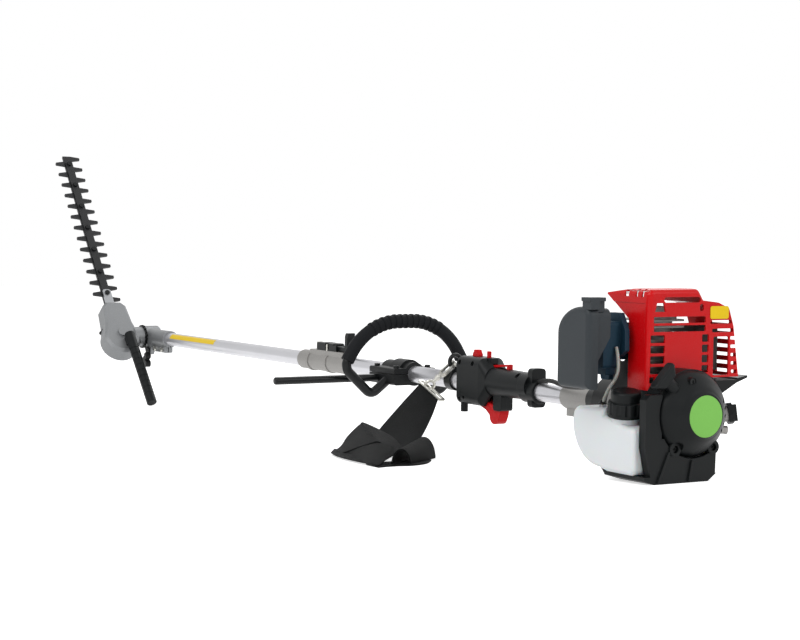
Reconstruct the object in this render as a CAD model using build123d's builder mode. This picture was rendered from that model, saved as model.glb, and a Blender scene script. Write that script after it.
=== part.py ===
"""Pole hedge trimmer: a four-stroke engine, a two-piece pole and an articulated cutter head.

Everything is drawn along the crank axis: X runs from the recoil starter to the cutter head,
Y points to the operator's left and Z up. save() stands each finished piece in its rest pose,
on the engine's guard and on the tip of the head's handle, and writes it.
"""

from build123d import *
import os
from math import cos, hypot, radians, sin, tan

# Rest pose
TILT = 1.57  # the pole rises towards the head, degrees
AXIS_HEIGHT = 85.6  # crank axis above the ground at the starter
FOOT_X = 85.0  # middle of the guard's flat foot
FOOT_Y = 6.0
REST = Location((-FOOT_X, -FOOT_Y, AXIS_HEIGHT), (0, -TILT, 0))
GROUND = Plane(REST.inverse())

# Clearances
RUN = 0.05  # radial running fit of a turning or sliding round part
SLIDE = 0.1  # between flat faces that slide
CLEAR = 0.3  # between curved faces of different pieces
WALL = 2.5  # moulded covers

# Pole and drive line
TUBE_R = 13.0
TUBE_WALL = 1.5
SHAFT_R = 4.0
COUPLER_X = 890.0
COUPLER_LENGTH = 163.0
COUPLER_WALL = 3.5
UPPER_TUBE_END = COUPLER_X + 75.0
LOWER_TUBE_START = UPPER_TUBE_END + 1.0
DRIVE_SQUARE = 6.0
SLEEVE_R = 7.5
SLEEVE_START = UPPER_TUBE_END - 18.0
SLEEVE_END = UPPER_TUBE_END + 12.0

# Cutter head
HINGE_X = 1724.0
HEAD_Y = 65.0  # the gearcase hangs beside the pole
BLADE_ANGLE = 51.5  # above the pole
CASE_R = 38.0
CASE_BACK = 8.0  # the round end sits behind the crank
CASE_TOP = 78.0
CASE_HALF = 25.0
CASE_FLOOR = -13.0
CASE_ROOF = 17.0
COVER_T = 5.0
HOUSING_R = 22.0
HOUSING_FACE = 14.0  # face that meets the index plate
PLATE_R = 24.0
PLATE_T = 4.0
SPIGOT_R = 13.0
CROSS_R = 4.5
NECK_R = TUBE_R + 3.5
NECK_START = 1620.0
SOCKET_END = HINGE_X - 22.0

# Blades
PITCH = 29.0
TEETH_RIGHT = 14
TEETH_LEFT = 13
FIRST_TOOTH = 477.0
TOOTH_ROOT = 12.0
TOOTH_TIP = 5.0
SPAN = 56.0
BAR_WIDTH = 18.0
BLADE_T = 2.4
LOWER_LEVEL = -11.0
UPPER_LEVEL = LOWER_LEVEL + BLADE_T + SLIDE
GUIDE_LEVEL = UPPER_LEVEL + BLADE_T + SLIDE
GUIDE_T = 2.5
SUPPORT_T = 3.5
BLADE_TIP = FIRST_TOOTH + TOOTH_ROOT / 2
STROKE = 7.0  # throw of each crank pin
PIN_R = 4.5
YOKE_WIDTH = 36.0
YOKE_HALF = 24.0
BOLT_R = 3.0
FIRST_BOLT = 112.0
BOLT_PITCH = 2 * PITCH
BOLT_COUNT = 7
BOLTS = [FIRST_BOLT + BOLT_PITCH * n for n in range(BOLT_COUNT)]

# Crank and gears
GEAR_R = 26.0
GEAR_T = 4.0
GEAR_TOOTH = 2.0
GEAR_LEVEL = 9.5
PINION_R = 6.9
CRANK_SHAFT_R = 5.0
MITRE_R = 11.2
MITRE_BACK = 12.0
MITRE_FRONT = 6.0

HEAD = Plane(
    origin=(HINGE_X, HEAD_Y, 0),
    x_dir=(cos(radians(BLADE_ANGLE)), 0, sin(radians(BLADE_ANGLE))),
    z_dir=(-sin(radians(BLADE_ANGLE)), 0, cos(radians(BLADE_ANGLE))),
)

HEAD_UP = Axis(HEAD.origin, HEAD.z_dir)


def save(piece, name, rest=REST):
    """Stand a finished piece in its rest pose, label it and write it."""
    placed = rest * piece.part
    placed.label = name
    export_step(placed, f"parts/{name}.step")


def along(x):
    """Return the plane across the pole at x, seen from the head: its x is Y and its y is Z."""
    return Plane.YZ.offset(x)


def across(y):
    """Return the upright plane along the pole at y, facing the operator's right."""
    return Plane.XZ.offset(-y)


def barrel(plane, radius, length, bore=0.0):
    """Add a round barrel standing on a plane, bored through if a bore is given."""
    with BuildSketch(plane) as ring:
        Circle(radius)
        if bore:
            Circle(bore, mode=Mode.SUBTRACT)
    extrude(ring.sketch, amount=length)


def drill(plane, radius, length):
    """Cut a round hole from a plane."""
    with BuildSketch(plane) as hole:
        Circle(radius)
    extrude(hole.sketch, amount=length, mode=Mode.SUBTRACT)


def block(plane, x0, x1, y0, y1, height, mode=Mode.ADD, rounding=0.0):
    """Add or cut a block whose foot is a rectangle on a plane."""
    with BuildSketch(plane) as foot:
        with Locations(((x0 + x1) / 2, (y0 + y1) / 2)):
            Rectangle(x1 - x0, y1 - y0)
        if rounding:
            fillet(foot.vertices(), rounding)
    extrude(foot.sketch, amount=height, mode=mode)


def plate(plane, points, height, mode=Mode.ADD, rounding=0.0):
    """Add or cut a prism with a straight-sided outline, its corners rounded alike."""
    with BuildSketch(plane) as outline:
        Polygon(*points)
        if rounding:
            fillet(outline.vertices(), rounding)
    extrude(outline.sketch, amount=height, mode=mode)


def cord_path(points):
    """Return a path of straight runs joined by tangent arcs as large as the runs allow."""
    radii = []
    for before, corner, after in zip(points, points[1:], points[2:]):
        first = Vector(*corner) - Vector(*before)
        second = Vector(*after) - Vector(*corner)
        half_turn = radians(first.get_angle(second) / 2)
        radii.append(0.45 * min(first.length, second.length) / tan(half_turn))
    print("cord radii:", ", ".join(f"{radius:.1f}" for radius in radii))
    return FilletPolyline(*points, radius=radii)


def cord(points, radius):
    """Sweep a round cord along its route."""
    with BuildLine() as route:
        cord_path(points)
    with BuildSketch(Plane(origin=route.line @ 0, z_dir=route.line % 0)) as section:
        Circle(radius)
    sweep(section.sketch, path=route.line)


def comb(level):
    """Draw one blade: yoke, bar, two staggered rows of teeth, bolt slots and the crank window."""
    window = 2 * (2 * STROKE + PIN_R + CLEAR)
    window_width = 2 * (STROKE + PIN_R + CLEAR)
    half_span = SPAN / 2
    with BuildSketch(HEAD.offset(level)) as outline:
        Rectangle(2 * YOKE_HALF, YOKE_WIDTH)
        fillet(outline.vertices(), 4)
        with Locations((BLADE_TIP / 2, 0)):
            Rectangle(BLADE_TIP, BAR_WIDTH)
        for side, first, count in ((-1, FIRST_TOOTH, TEETH_RIGHT), (1, FIRST_TOOTH - PITCH / 2, TEETH_LEFT)):
            inner = side * (BAR_WIDTH / 2 - 1)
            with Locations(*[(first - PITCH * n, 0) for n in range(count)]):
                Polygon(
                    (-TOOTH_ROOT / 2, inner),
                    (TOOTH_ROOT / 2, inner),
                    (TOOTH_TIP / 2, side * half_span),
                    (-TOOTH_TIP / 2, side * half_span),
                )
        Rectangle(window, window_width, mode=Mode.SUBTRACT)
        with Locations(*[(at, 0) for at in BOLTS]):
            SlotOverall(2 * (STROKE + BOLT_R + CLEAR), 2 * (BOLT_R + CLEAR), mode=Mode.SUBTRACT)
    extrude(outline.sketch, amount=BLADE_T)


def toothed_disc(plane, radius, teeth, depth, width, height, mode=Mode.ADD):
    """Add or keep a disc whose rim is cut into square teeth."""
    with BuildSketch(plane) as wheel:
        Circle(radius)
        with PolarLocations(radius - depth / 2, teeth):
            Rectangle(depth, width, mode=Mode.SUBTRACT)
    extrude(wheel.sketch, amount=height, mode=mode)


os.makedirs("parts", exist_ok=True)

# ---------------------------------------------------------------- cutter head

with BuildPart() as upper_blade:
    comb(UPPER_LEVEL)
save(upper_blade, "upper_blade")

with BuildPart() as lower_blade:
    comb(LOWER_LEVEL)
save(lower_blade, "lower_blade")

BAR_START = 46.0
SUPPORT_END = FIRST_BOLT + 9.0
with BuildPart() as guide_bar:
    block(HEAD.offset(GUIDE_LEVEL), BAR_START, BLADE_TIP - 14, -BAR_WIDTH / 2 + 1, BAR_WIDTH / 2 - 1, GUIDE_T)
    fillet(guide_bar.edges().filter_by(HEAD_UP), 6)
    with BuildSketch(HEAD.offset(GUIDE_LEVEL)):
        with Locations(*[(at, 0) for at in BOLTS]):
            Circle(BOLT_R)
    extrude(amount=GUIDE_T, mode=Mode.SUBTRACT)
save(guide_bar, "guide_bar")

SUPPORT_LEVEL = GUIDE_LEVEL + GUIDE_T
with BuildPart() as support_bar:
    block(HEAD.offset(SUPPORT_LEVEL), BAR_START, SUPPORT_END, -BAR_WIDTH / 2, BAR_WIDTH / 2, SUPPORT_T)
    fillet(support_bar.edges().filter_by(HEAD_UP).group_by(Axis.X)[-1], 6)
    drill(HEAD.offset(SUPPORT_LEVEL) * Pos(FIRST_BOLT, 0), BOLT_R, SUPPORT_T)
save(support_bar, "support_bar")

SCREW_R = 2.0
SCREW_HEAD_R = 4.0
COVER_SCREWS = [(-36, 0), (-22, 29), (-22, -29), (24, 29), (24, -29), (70, 17), (70, -17)]
COVER_LEVEL = CASE_FLOOR - COVER_T
with BuildPart() as head_screws:
    for at in BOLTS:
        top = SUPPORT_LEVEL + SUPPORT_T if at == FIRST_BOLT else SUPPORT_LEVEL
        place = HEAD.offset(LOWER_LEVEL - 2.2) * Pos(at, 0)
        barrel(place, BOLT_R + 2, 2)
        barrel(place, BOLT_R, top - LOWER_LEVEL + 2.2)
        with BuildSketch(HEAD.offset(top) * Pos(at, 0)):
            RegularPolygon(BOLT_R + 2.4, 6)
        extrude(amount=3)
    for u, y in COVER_SCREWS:
        place = HEAD.offset(COVER_LEVEL - 3) * Pos(u, y)
        barrel(place, SCREW_HEAD_R, 3)
        barrel(place, SCREW_R, COVER_T + 9)
        with BuildSketch(place):
            RegularPolygon(2, 6)
        extrude(amount=1.8, mode=Mode.SUBTRACT)
save(head_screws, "head_screws")

CROSS_AXIS_Y = Plane(origin=(HINGE_X, 0, 0), x_dir=(1, 0, 0), z_dir=(0, 1, 0))  # hinge axis, outwards
KNUCKLE_FACE = HOUSING_FACE + CLEAR + PLATE_T
KNUCKLE_R = 20.0
CAVITY_R = GEAR_R + 1.5
CAVITY_TOP = GEAR_LEVEL + GEAR_T + CLEAR
PINION_END = HEAD_Y - YOKE_WIDTH / 2 - 0.5
PINION_START = PINION_END - 8.0
SPIGOT_START = MITRE_R + 2 * CLEAR
KNUCKLE_LENGTH = HEAD_Y - KNUCKLE_FACE - CASE_R / 2 - 8


def case_outline():
    """Draw the gearcase: round behind the crank, tapering to a chamfered blade exit."""
    with Locations((-CASE_BACK, 0)):
        Circle(CASE_R)
    Polygon(
        (-CASE_BACK, CASE_R),
        (-CASE_BACK, -CASE_R),
        (28, -CASE_HALF - 4),
        (CASE_TOP - 9, -CASE_HALF),
        (CASE_TOP, -CASE_HALF + 9),
        (CASE_TOP, CASE_HALF - 9),
        (CASE_TOP - 9, CASE_HALF),
        (28, CASE_HALF + 4),
    )


with BuildPart() as gearcase_body:
    with BuildSketch(HEAD.offset(CASE_FLOOR)):
        case_outline()
    extrude(amount=CASE_ROOF - CASE_FLOOR)
    chamfer(gearcase_body.faces().sort_by(HEAD_UP)[-1].edges(), 5)
    barrel(HEAD.offset(CASE_ROOF - 1), 10, 5)
    barrel(CROSS_AXIS_Y.offset(KNUCKLE_FACE), KNUCKLE_R, KNUCKLE_LENGTH)
    barrel(CROSS_AXIS_Y.offset(SPIGOT_START), SPIGOT_R, 20)
    drill(HEAD.offset(UPPER_LEVEL + BLADE_T + CLEAR), CAVITY_R, CAVITY_TOP - UPPER_LEVEL - BLADE_T - CLEAR)
    block(
        HEAD.offset(CASE_FLOOR),
        -YOKE_HALF - STROKE - 1,
        YOKE_HALF + STROKE + 4,
        -YOKE_WIDTH / 2 - 1,
        YOKE_WIDTH / 2 + 1,
        UPPER_LEVEL + BLADE_T + CLEAR - CASE_FLOOR,
        mode=Mode.SUBTRACT,
    )
    block(
        HEAD.offset(CASE_FLOOR),
        YOKE_HALF,
        CASE_TOP,
        -BAR_WIDTH / 2 - 0.5,
        BAR_WIDTH / 2 + 0.5,
        GUIDE_LEVEL - CASE_FLOOR,
        mode=Mode.SUBTRACT,
    )
    block(
        HEAD.offset(GUIDE_LEVEL),
        BAR_START,
        CASE_TOP,
        -BAR_WIDTH / 2,
        BAR_WIDTH / 2,
        GUIDE_T + SUPPORT_T,
        mode=Mode.SUBTRACT,
    )
    drill(HEAD, CRANK_SHAFT_R + RUN, CASE_ROOF)
    drill(CROSS_AXIS_Y.offset(SPIGOT_START - 1), CROSS_R + RUN, PINION_END - SPIGOT_START + 2)
    drill(CROSS_AXIS_Y.offset(PINION_START - CLEAR), PINION_R + CLEAR, PINION_END - PINION_START + 2 * CLEAR)
    for u, y in COVER_SCREWS:
        drill(HEAD.offset(CASE_FLOOR) * Pos(u, y), SCREW_R, 6.5)
save(gearcase_body, "gearcase_body")

with BuildPart() as gearcase_cover:
    with BuildSketch(HEAD.offset(COVER_LEVEL)):
        case_outline()
    extrude(amount=COVER_T)
    block(HEAD.offset(COVER_LEVEL), 30, CASE_TOP - 14, -3, 3, -2)
    for y in (-9, 9):
        block(HEAD.offset(COVER_LEVEL), 30, CASE_TOP - 14, y - 1.5, y + 1.5, -2)
    barrel(HEAD.offset(COVER_LEVEL - 3), 17, 3)
    drill(CROSS_AXIS_Y.offset(KNUCKLE_FACE - 1), KNUCKLE_R + CLEAR, KNUCKLE_LENGTH + 1 + CLEAR)
    for u, y in COVER_SCREWS:
        drill(HEAD.offset(COVER_LEVEL) * Pos(u, y), SCREW_R, COVER_T)
save(gearcase_cover, "gearcase_cover")

with BuildPart() as crank_gear:
    toothed_disc(HEAD.offset(GEAR_LEVEL - GEAR_TOOTH), GEAR_R, 30, 11, 2.4, GEAR_TOOTH)
    barrel(HEAD.offset(GEAR_LEVEL), GEAR_R, GEAR_T)
    web_level = UPPER_LEVEL + BLADE_T + 2 * SLIDE
    barrel(HEAD.offset(web_level), CRANK_SHAFT_R, CASE_ROOF - web_level)
    barrel(HEAD.offset(web_level), STROKE + PIN_R + 1, 3)
    for side in (-1, 1):
        barrel(HEAD.offset(LOWER_LEVEL - 0.8) * Pos(side * STROKE, 0), PIN_R, web_level - LOWER_LEVEL + 0.8)
save(crank_gear, "crank_gear")


def mitre_gear(plane):
    """Add a mitre gear whose back lies on the plane and whose teeth point away from it."""
    reach = MITRE_BACK - MITRE_FRONT
    with BuildSketch(plane) as back:
        Circle(MITRE_R)
    with BuildSketch(plane.offset(reach)) as front:
        Circle(MITRE_R - reach)
    loft([back.sketch, front.sketch])
    with BuildSketch(plane) as grooves:
        with PolarLocations(MITRE_R, 14):
            Rectangle(4.5, 1.6)
    extrude(grooves.sketch, amount=reach, mode=Mode.SUBTRACT)


with BuildPart() as cross_shaft:
    mitre_gear(CROSS_AXIS_Y.offset(-MITRE_BACK))
    barrel(CROSS_AXIS_Y.offset(-MITRE_BACK - 3), CROSS_R, PINION_END + MITRE_BACK + 3)
    toothed_disc(CROSS_AXIS_Y.offset(PINION_START), PINION_R, 10, 1.8, 1.9, PINION_END - PINION_START)
save(cross_shaft, "cross_shaft")

with BuildPart() as index_plate:
    with BuildSketch(CROSS_AXIS_Y.offset(HOUSING_FACE + CLEAR)):
        Circle(PLATE_R)
        Circle(SPIGOT_R, mode=Mode.SUBTRACT)
        with PolarLocations(PLATE_R, 12, start_angle=60, angular_range=240):
            Rectangle(5, 4, mode=Mode.SUBTRACT)
    extrude(amount=PLATE_T)
save(index_plate, "index_plate")

# The handle leaves the case backwards, in line with the blades, and stands on the ground
HANDLE_R = 10.0
HANDLE_SPLAY = 3.0
HANDLE_AT = (-12.0, -8.0, CASE_ROOF + HANDLE_R + 1.2)
handle_top = HEAD.from_local_coords(Vector(*HANDLE_AT))
handle_angle = radians(BLADE_ANGLE - HANDLE_SPLAY)
handle_dir = Vector(-cos(handle_angle), 0, -sin(handle_angle))
ground_at_handle = GROUND.origin.Z - tan(radians(TILT)) * (handle_top.X - GROUND.origin.X - 115)
HANDLE_LENGTH = (handle_top.Z - ground_at_handle - HANDLE_R * cos(handle_angle)) / sin(handle_angle)
HANDLE_PLANE = Plane(origin=handle_top, x_dir=(0, 1, 0), z_dir=handle_dir)
with BuildPart() as head_handle:
    barrel(HANDLE_PLANE.offset(-1), HANDLE_R - 1.5, 9)
    barrel(HANDLE_PLANE, HANDLE_R, HANDLE_LENGTH)
    chamfer(head_handle.edges().filter_by(GeomType.CIRCLE).sort_by(Axis.Z)[0], 1)
    for n in range(9):
        with BuildSketch(HANDLE_PLANE.offset(40 + 14 * n)):
            Circle(HANDLE_R)
            Circle(HANDLE_R - 0.8, mode=Mode.SUBTRACT)
        extrude(amount=2, mode=Mode.SUBTRACT)
    with BuildSketch(HEAD.offset(CASE_ROOF)):
        with Locations((HANDLE_AT[0] - 12, HANDLE_AT[1])):
            Rectangle(18, 16)
    extrude(amount=HANDLE_R)
save(head_handle, "head_handle")

PIVOT_X = HINGE_X - 30.0
PIVOT_Z = -28.0
PIVOT_R = 3.0
LUG_Y = 5.0
with BuildPart() as angle_housing:
    barrel(CROSS_AXIS_Y.offset(-MITRE_BACK - 7), HOUSING_R, MITRE_BACK + 7 + HOUSING_FACE)
    fillet(angle_housing.edges().filter_by(GeomType.CIRCLE).sort_by(Axis.Y)[0], 4)
    barrel(along(NECK_START), NECK_R, HINGE_X - 12 - NECK_START)
    block(along(NECK_START + 10), -9, 9, -28, 0, 56)
    fillet(angle_housing.edges().filter_by(Axis.X).group_by(Axis.Z)[0], 3)
    with BuildSketch(across(LUG_Y)):
        with Locations((PIVOT_X, PIVOT_Z)):
            Circle(7)
        Polygon((PIVOT_X - 7, PIVOT_Z), (PIVOT_X + 7, PIVOT_Z), (PIVOT_X + 12, -8), (PIVOT_X - 12, -8))
    extrude(amount=LUG_Y - HOUSING_FACE)
    drill(along(NECK_START), TUBE_R, SOCKET_END - NECK_START)
    drill(along(NECK_START), SHAFT_R + RUN, HINGE_X - NECK_START)
    drill(along(HINGE_X - MITRE_BACK - CLEAR), MITRE_R + CLEAR, MITRE_BACK + CLEAR)
    drill(CROSS_AXIS_Y.offset(-MITRE_BACK - CLEAR), MITRE_R + CLEAR, MITRE_BACK + HOUSING_FACE)
    drill(CROSS_AXIS_Y.offset(SPIGOT_START - CLEAR), SPIGOT_R + RUN, 6)
    drill(CROSS_AXIS_Y.offset(-MITRE_BACK - 4), CROSS_R + RUN, 5)
    block(along(NECK_START), -1, 1, -28, -TUBE_R + 1, 74, mode=Mode.SUBTRACT)
    drill(across(LUG_Y) * Pos(PIVOT_X, PIVOT_Z), PIVOT_R + RUN, LUG_Y - HOUSING_FACE)
    block(along(HINGE_X - 44), HOUSING_FACE, 40, -60, 60, 80, mode=Mode.SUBTRACT)
    for x in (NECK_START + 22, NECK_START + 54):
        drill(across(9) * Pos(x, -21.5), 2.5, 18)
save(angle_housing, "angle_housing")

with BuildPart() as housing_screws:
    for x in (NECK_START + 22, NECK_START + 54):
        barrel(across(9) * Pos(x, -21.5), 2.5, 18)
        barrel(across(9) * Pos(x, -21.5), 4.5, -4)
        barrel(across(-9) * Pos(x, -21.5), 4.5, 3)
save(housing_screws, "housing_screws")

LOCK_Y = HOUSING_FACE + 0.2
with BuildPart() as lock_lever:
    barrel(across(LUG_Y) * Pos(PIVOT_X, PIVOT_Z), PIVOT_R, LUG_Y - LOCK_Y)
    with BuildSketch(across(LOCK_Y)):
        with Locations((PIVOT_X, PIVOT_Z)):
            Circle(7.5)
        Polygon(
            (PIVOT_X - 7, PIVOT_Z - 2),
            (PIVOT_X + 2, PIVOT_Z + 8),
            (PIVOT_X + 12.5, PIVOT_Z + 9.5),
            (PIVOT_X + 13.5, PIVOT_Z + 6.5),
            (PIVOT_X + 8, PIVOT_Z - 4),
        )
    extrude(amount=-3.6)
    with BuildSketch(across(LOCK_Y)):
        with Locations((PIVOT_X - 3, PIVOT_Z - 9), (PIVOT_X + 4, PIVOT_Z - 17), (PIVOT_X - 3, PIVOT_Z - 25)):
            Circle(7)
    extrude(amount=-10)
    fillet(lock_lever.edges().group_by(Axis.Y)[-1], 1.5)
save(lock_lever, "lock_lever")

# ---------------------------------------------------------------- pole

TUBE_BORE = TUBE_R - TUBE_WALL
with BuildPart() as lower_tube:
    barrel(along(LOWER_TUBE_START), TUBE_R, SOCKET_END - LOWER_TUBE_START, TUBE_BORE)
save(lower_tube, "lower_tube")

with BuildPart() as lower_drive_shaft:
    block(
        along(UPPER_TUBE_END - 4), -DRIVE_SQUARE / 2, DRIVE_SQUARE / 2, -DRIVE_SQUARE / 2, DRIVE_SQUARE / 2, 24
    )
    barrel(along(UPPER_TUBE_END + 16), SHAFT_R, HINGE_X - MITRE_BACK - UPPER_TUBE_END - 15)
    mitre_gear(Plane(origin=(HINGE_X - MITRE_BACK, 0, 0), z_dir=(1, 0, 0)))
save(lower_drive_shaft, "lower_drive_shaft")

COUPLER_R = TUBE_R + COUPLER_WALL
COUPLER_END = COUPLER_X + COUPLER_LENGTH
PAD_TOP = 20.0
with BuildPart() as coupler_body:
    barrel(along(COUPLER_X), COUPLER_R, COUPLER_LENGTH)
    chamfer(coupler_body.edges().filter_by(GeomType.CIRCLE), 2)
    barrel(along(COUPLER_X + 60), COUPLER_R + 1.5, 10)
    barrel(along(COUPLER_END - 40), COUPLER_R + 1.5, 8)
    block(Plane.XY, COUPLER_X + 14, COUPLER_END - 36, -12, 12, PAD_TOP, rounding=5)
    drill(along(COUPLER_X), TUBE_R, UPPER_TUBE_END - COUPLER_X + 0.5)
    drill(along(UPPER_TUBE_END), TUBE_R + RUN, COUPLER_LENGTH)
    block(Plane.XY, UPPER_TUBE_END + 20, COUPLER_END, -0.8, 0.8, -30, mode=Mode.SUBTRACT)
save(coupler_body, "coupler_body")

BLOCK_X0 = COUPLER_X + 45.0
BLOCK_X1 = COUPLER_X + 100.0
BLOCK_TOP = 33.0
LATCH_PIVOT = (COUPLER_X + 40.0, 25.0)
with BuildPart() as latch_block:
    block(Plane.XY.offset(PAD_TOP), BLOCK_X0, BLOCK_X1, -11, 11, BLOCK_TOP - PAD_TOP)
    fillet(latch_block.edges().filter_by(Axis.Y).group_by(Axis.Z)[-1], 3)
    for y0, y1 in ((-11, -7), (7, 11)):
        block(Plane.XY.offset(PAD_TOP), LATCH_PIVOT[0] - 6, BLOCK_X0, y0, y1, 10)
    block(Plane.XY.offset(PAD_TOP), BLOCK_X0 + 14, BLOCK_X0 + 26, -12, -8.5, 14, mode=Mode.SUBTRACT)
    block(Plane.XY.offset(PAD_TOP), BLOCK_X0 + 14, BLOCK_X0 + 26, 8.5, 12, 14, mode=Mode.SUBTRACT)
    drill(across(12) * Pos(*LATCH_PIVOT), 2, 24)
save(latch_block, "latch_block")

with BuildPart() as latch_lever:
    barrel(across(11) * Pos(*LATCH_PIVOT), 2 - RUN, 22)
    with BuildSketch(across(6.7)):
        with Locations(LATCH_PIVOT):
            Circle(4)
        with BuildLine():
            FilletPolyline(
                (LATCH_PIVOT[0] + 2, 21.3),
                (COUPLER_X + 4, 21.3),
                (COUPLER_X + 4, 44),
                (COUPLER_X - 1, 53),
                (COUPLER_X + 9, 53),
                (COUPLER_X + 12, 47),
                (COUPLER_X + 12, 28.5),
                (LATCH_PIVOT[0] + 2, 28.5),
                radius=2.5,
                close=True,
            )
        make_face()
    extrude(amount=13.4)
save(latch_lever, "latch_lever")

with BuildPart() as coupler_posts:
    barrel(Plane.XY.offset(PAD_TOP) * Pos(BLOCK_X1 + 10, 0), 5.5, BLOCK_TOP - PAD_TOP)
    for y in (-10.5, 10.5):
        barrel(Plane.XY.offset(PAD_TOP) * Pos(BLOCK_X0 + 20, y), 1.9, 11)
save(coupler_posts, "coupler_posts")

CLUTCH_SOCKET = 212.0
with BuildPart() as upper_tube:
    barrel(along(CLUTCH_SOCKET), TUBE_R, UPPER_TUBE_END - CLUTCH_SOCKET, TUBE_BORE)
save(upper_tube, "upper_tube")

DRUM_BACK = 160.0
DRUM_FRONT = 186.0
with BuildPart() as upper_drive_shaft:
    barrel(along(DRUM_FRONT), SHAFT_R, SLEEVE_START + 2 - DRUM_FRONT)
    barrel(along(SLEEVE_START), SLEEVE_R, SLEEVE_END - SLEEVE_START)
    drill(along(UPPER_TUBE_END - 6), hypot(DRIVE_SQUARE, DRIVE_SQUARE) / 2 + CLEAR, 30)
save(upper_drive_shaft, "upper_drive_shaft")

BUSHING_T = 12.0
with BuildPart() as shaft_bushings:
    for x in (SLEEVE_START - 30, SLEEVE_START - 230, SLEEVE_START - 430, SLEEVE_START - 630):
        barrel(along(x), TUBE_BORE, BUSHING_T, SHAFT_R + RUN)
save(shaft_bushings, "shaft_bushings")

# ---------------------------------------------------------------- loop handle

LOOP_X = 720.0
LOOP_R = 7.5
GRIP_R = 10.5
LOOP_FOOT = (24.0, -4.0)
LOOP_LOW = (62.0, -33.0)
LOOP_ELBOW = (111.0, 12.0)
LOOP_SHOULDER = (69.0, 82.0)


def loop_wire(points, radii):
    """Return the left-right symmetric loop: its sides as given, joined by the arch over the top."""
    mirrored = [(-y, z) for y, z in reversed(points)]
    left = [(0, y, z) for y, z in points]
    right = [(0, y, z) for y, z in mirrored]
    shift = Vector(LOOP_X, 0, 0)
    path = [shift + Vector(*p) for p in left] + [shift + Vector(*p) for p in right]
    return FilletPolyline(*path, radius=radii)


LOOP_PATH = [LOOP_FOOT, LOOP_LOW, LOOP_ELBOW, LOOP_SHOULDER]
LOOP_RADII = [13, 16, 100, 100, 16, 13]


def loop_rod(points, radii, radius, mode=Mode.ADD):
    """Sweep a round rod along the loop."""
    with BuildLine() as route:
        loop_wire(points, radii)
    with BuildSketch(Plane(origin=route.line @ 0, z_dir=route.line % 0)) as section:
        Circle(radius)
    sweep(section.sketch, path=route.line, mode=mode)
    return route.line


with BuildPart() as loop_handle:
    loop_rod(LOOP_PATH, LOOP_RADII, LOOP_R)
save(loop_handle, "loop_handle")

GRIP_FROM_ELBOW = 11.0
leg = Vector(*LOOP_SHOULDER) - Vector(*LOOP_ELBOW)
grip_end = Vector(*LOOP_ELBOW) + leg.normalized() * GRIP_FROM_ELBOW
with BuildPart() as loop_grip:
    grip_line = loop_rod([(grip_end.X, grip_end.Y), LOOP_SHOULDER], LOOP_RADII[2:4], GRIP_R)
    for n in range(13):
        at = 0.26 + 0.04 * n
        with BuildSketch(Plane(origin=grip_line @ at, z_dir=grip_line % at)):
            Circle(GRIP_R + 1)
        extrude(amount=1.8, both=True)
    loop_rod(LOOP_PATH, LOOP_RADII, LOOP_R, mode=Mode.SUBTRACT)
save(loop_grip, "loop_grip")

BAR_X = LOOP_X + 22.0
BAR_Z = -8.0
BAR_R = 6.0
BRACKET_X0 = LOOP_X - 30.0
BRACKET_X1 = LOOP_X + 46.0
BRACKET_Y = 38.0
BRACKET_SCREWS = [(x, y) for x in (BRACKET_X0 + 9, BRACKET_X1 - 9) for y in (-29, 29)]

with BuildPart() as barrier_bar:
    barrel(Plane(origin=(BAR_X, TUBE_R + 3, BAR_Z), z_dir=(0, 1, 0)), BAR_R, 205)
    fillet(barrier_bar.edges().filter_by(GeomType.CIRCLE).sort_by(Axis.Y)[-1], 3)
save(barrier_bar, "barrier_bar")

with BuildPart() as bracket_upper:
    with BuildSketch(along(BRACKET_X0)) as arch_section:
        with Locations((0, 5)):
            Rectangle(2 * BRACKET_Y, 9)
        fillet(arch_section.vertices().group_by(Axis.Y)[-1], 3)
        Circle(TUBE_R + 5.5)
        with Locations((0, -25)):
            Rectangle(90, 50.6, mode=Mode.SUBTRACT)
        Circle(TUBE_R, mode=Mode.SUBTRACT)
    extrude(amount=BRACKET_X1 - BRACKET_X0)
    barrel(along(LOOP_X - 16), TUBE_R + 9, 32)
    block(Plane.XY.offset(0.3), BRACKET_X0 - 5, BRACKET_X1 + 5, -60, 60, -40, mode=Mode.SUBTRACT)
    drill(along(BRACKET_X0), TUBE_R, 90)
    loop_rod(LOOP_PATH, LOOP_RADII, LOOP_R, mode=Mode.SUBTRACT)
    for x, y in BRACKET_SCREWS:
        drill(Plane.XY * Pos(x, y), 2.5, 12)
save(bracket_upper, "bracket_upper")

with BuildPart() as bracket_lower:
    with BuildSketch(along(BRACKET_X0)) as saddle:
        with Locations((0, -8.5)):
            Rectangle(2 * BRACKET_Y, 17)
        fillet(saddle.vertices().group_by(Axis.Y)[0], 5)
        Circle(TUBE_R + 5.5)
        with Locations((0, 25)):
            Rectangle(90, 50.6, mode=Mode.SUBTRACT)
        Circle(TUBE_R, mode=Mode.SUBTRACT)
    extrude(amount=BRACKET_X1 - BRACKET_X0)
    loop_rod(LOOP_PATH, LOOP_RADII, LOOP_R, mode=Mode.SUBTRACT)
    drill(Plane(origin=(BAR_X, TUBE_R + 3, BAR_Z), z_dir=(0, 1, 0)), BAR_R, 60)
    for x, y in BRACKET_SCREWS:
        drill(Plane.XY * Pos(x, y), 2.5, -20)
save(bracket_lower, "bracket_lower")

with BuildPart() as bracket_screws:
    for x, y in BRACKET_SCREWS:
        barrel(Plane.XY.offset(9.5) * Pos(x, y), 4.5, 4)
        barrel(Plane.XY.offset(-16) * Pos(x, y), 2.5, 26)
        with BuildSketch(Plane.XY.offset(13.5) * Pos(x, y)):
            RegularPolygon(2.2, 6)
        extrude(amount=-2.5, mode=Mode.SUBTRACT)
save(bracket_screws, "bracket_screws")

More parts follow.
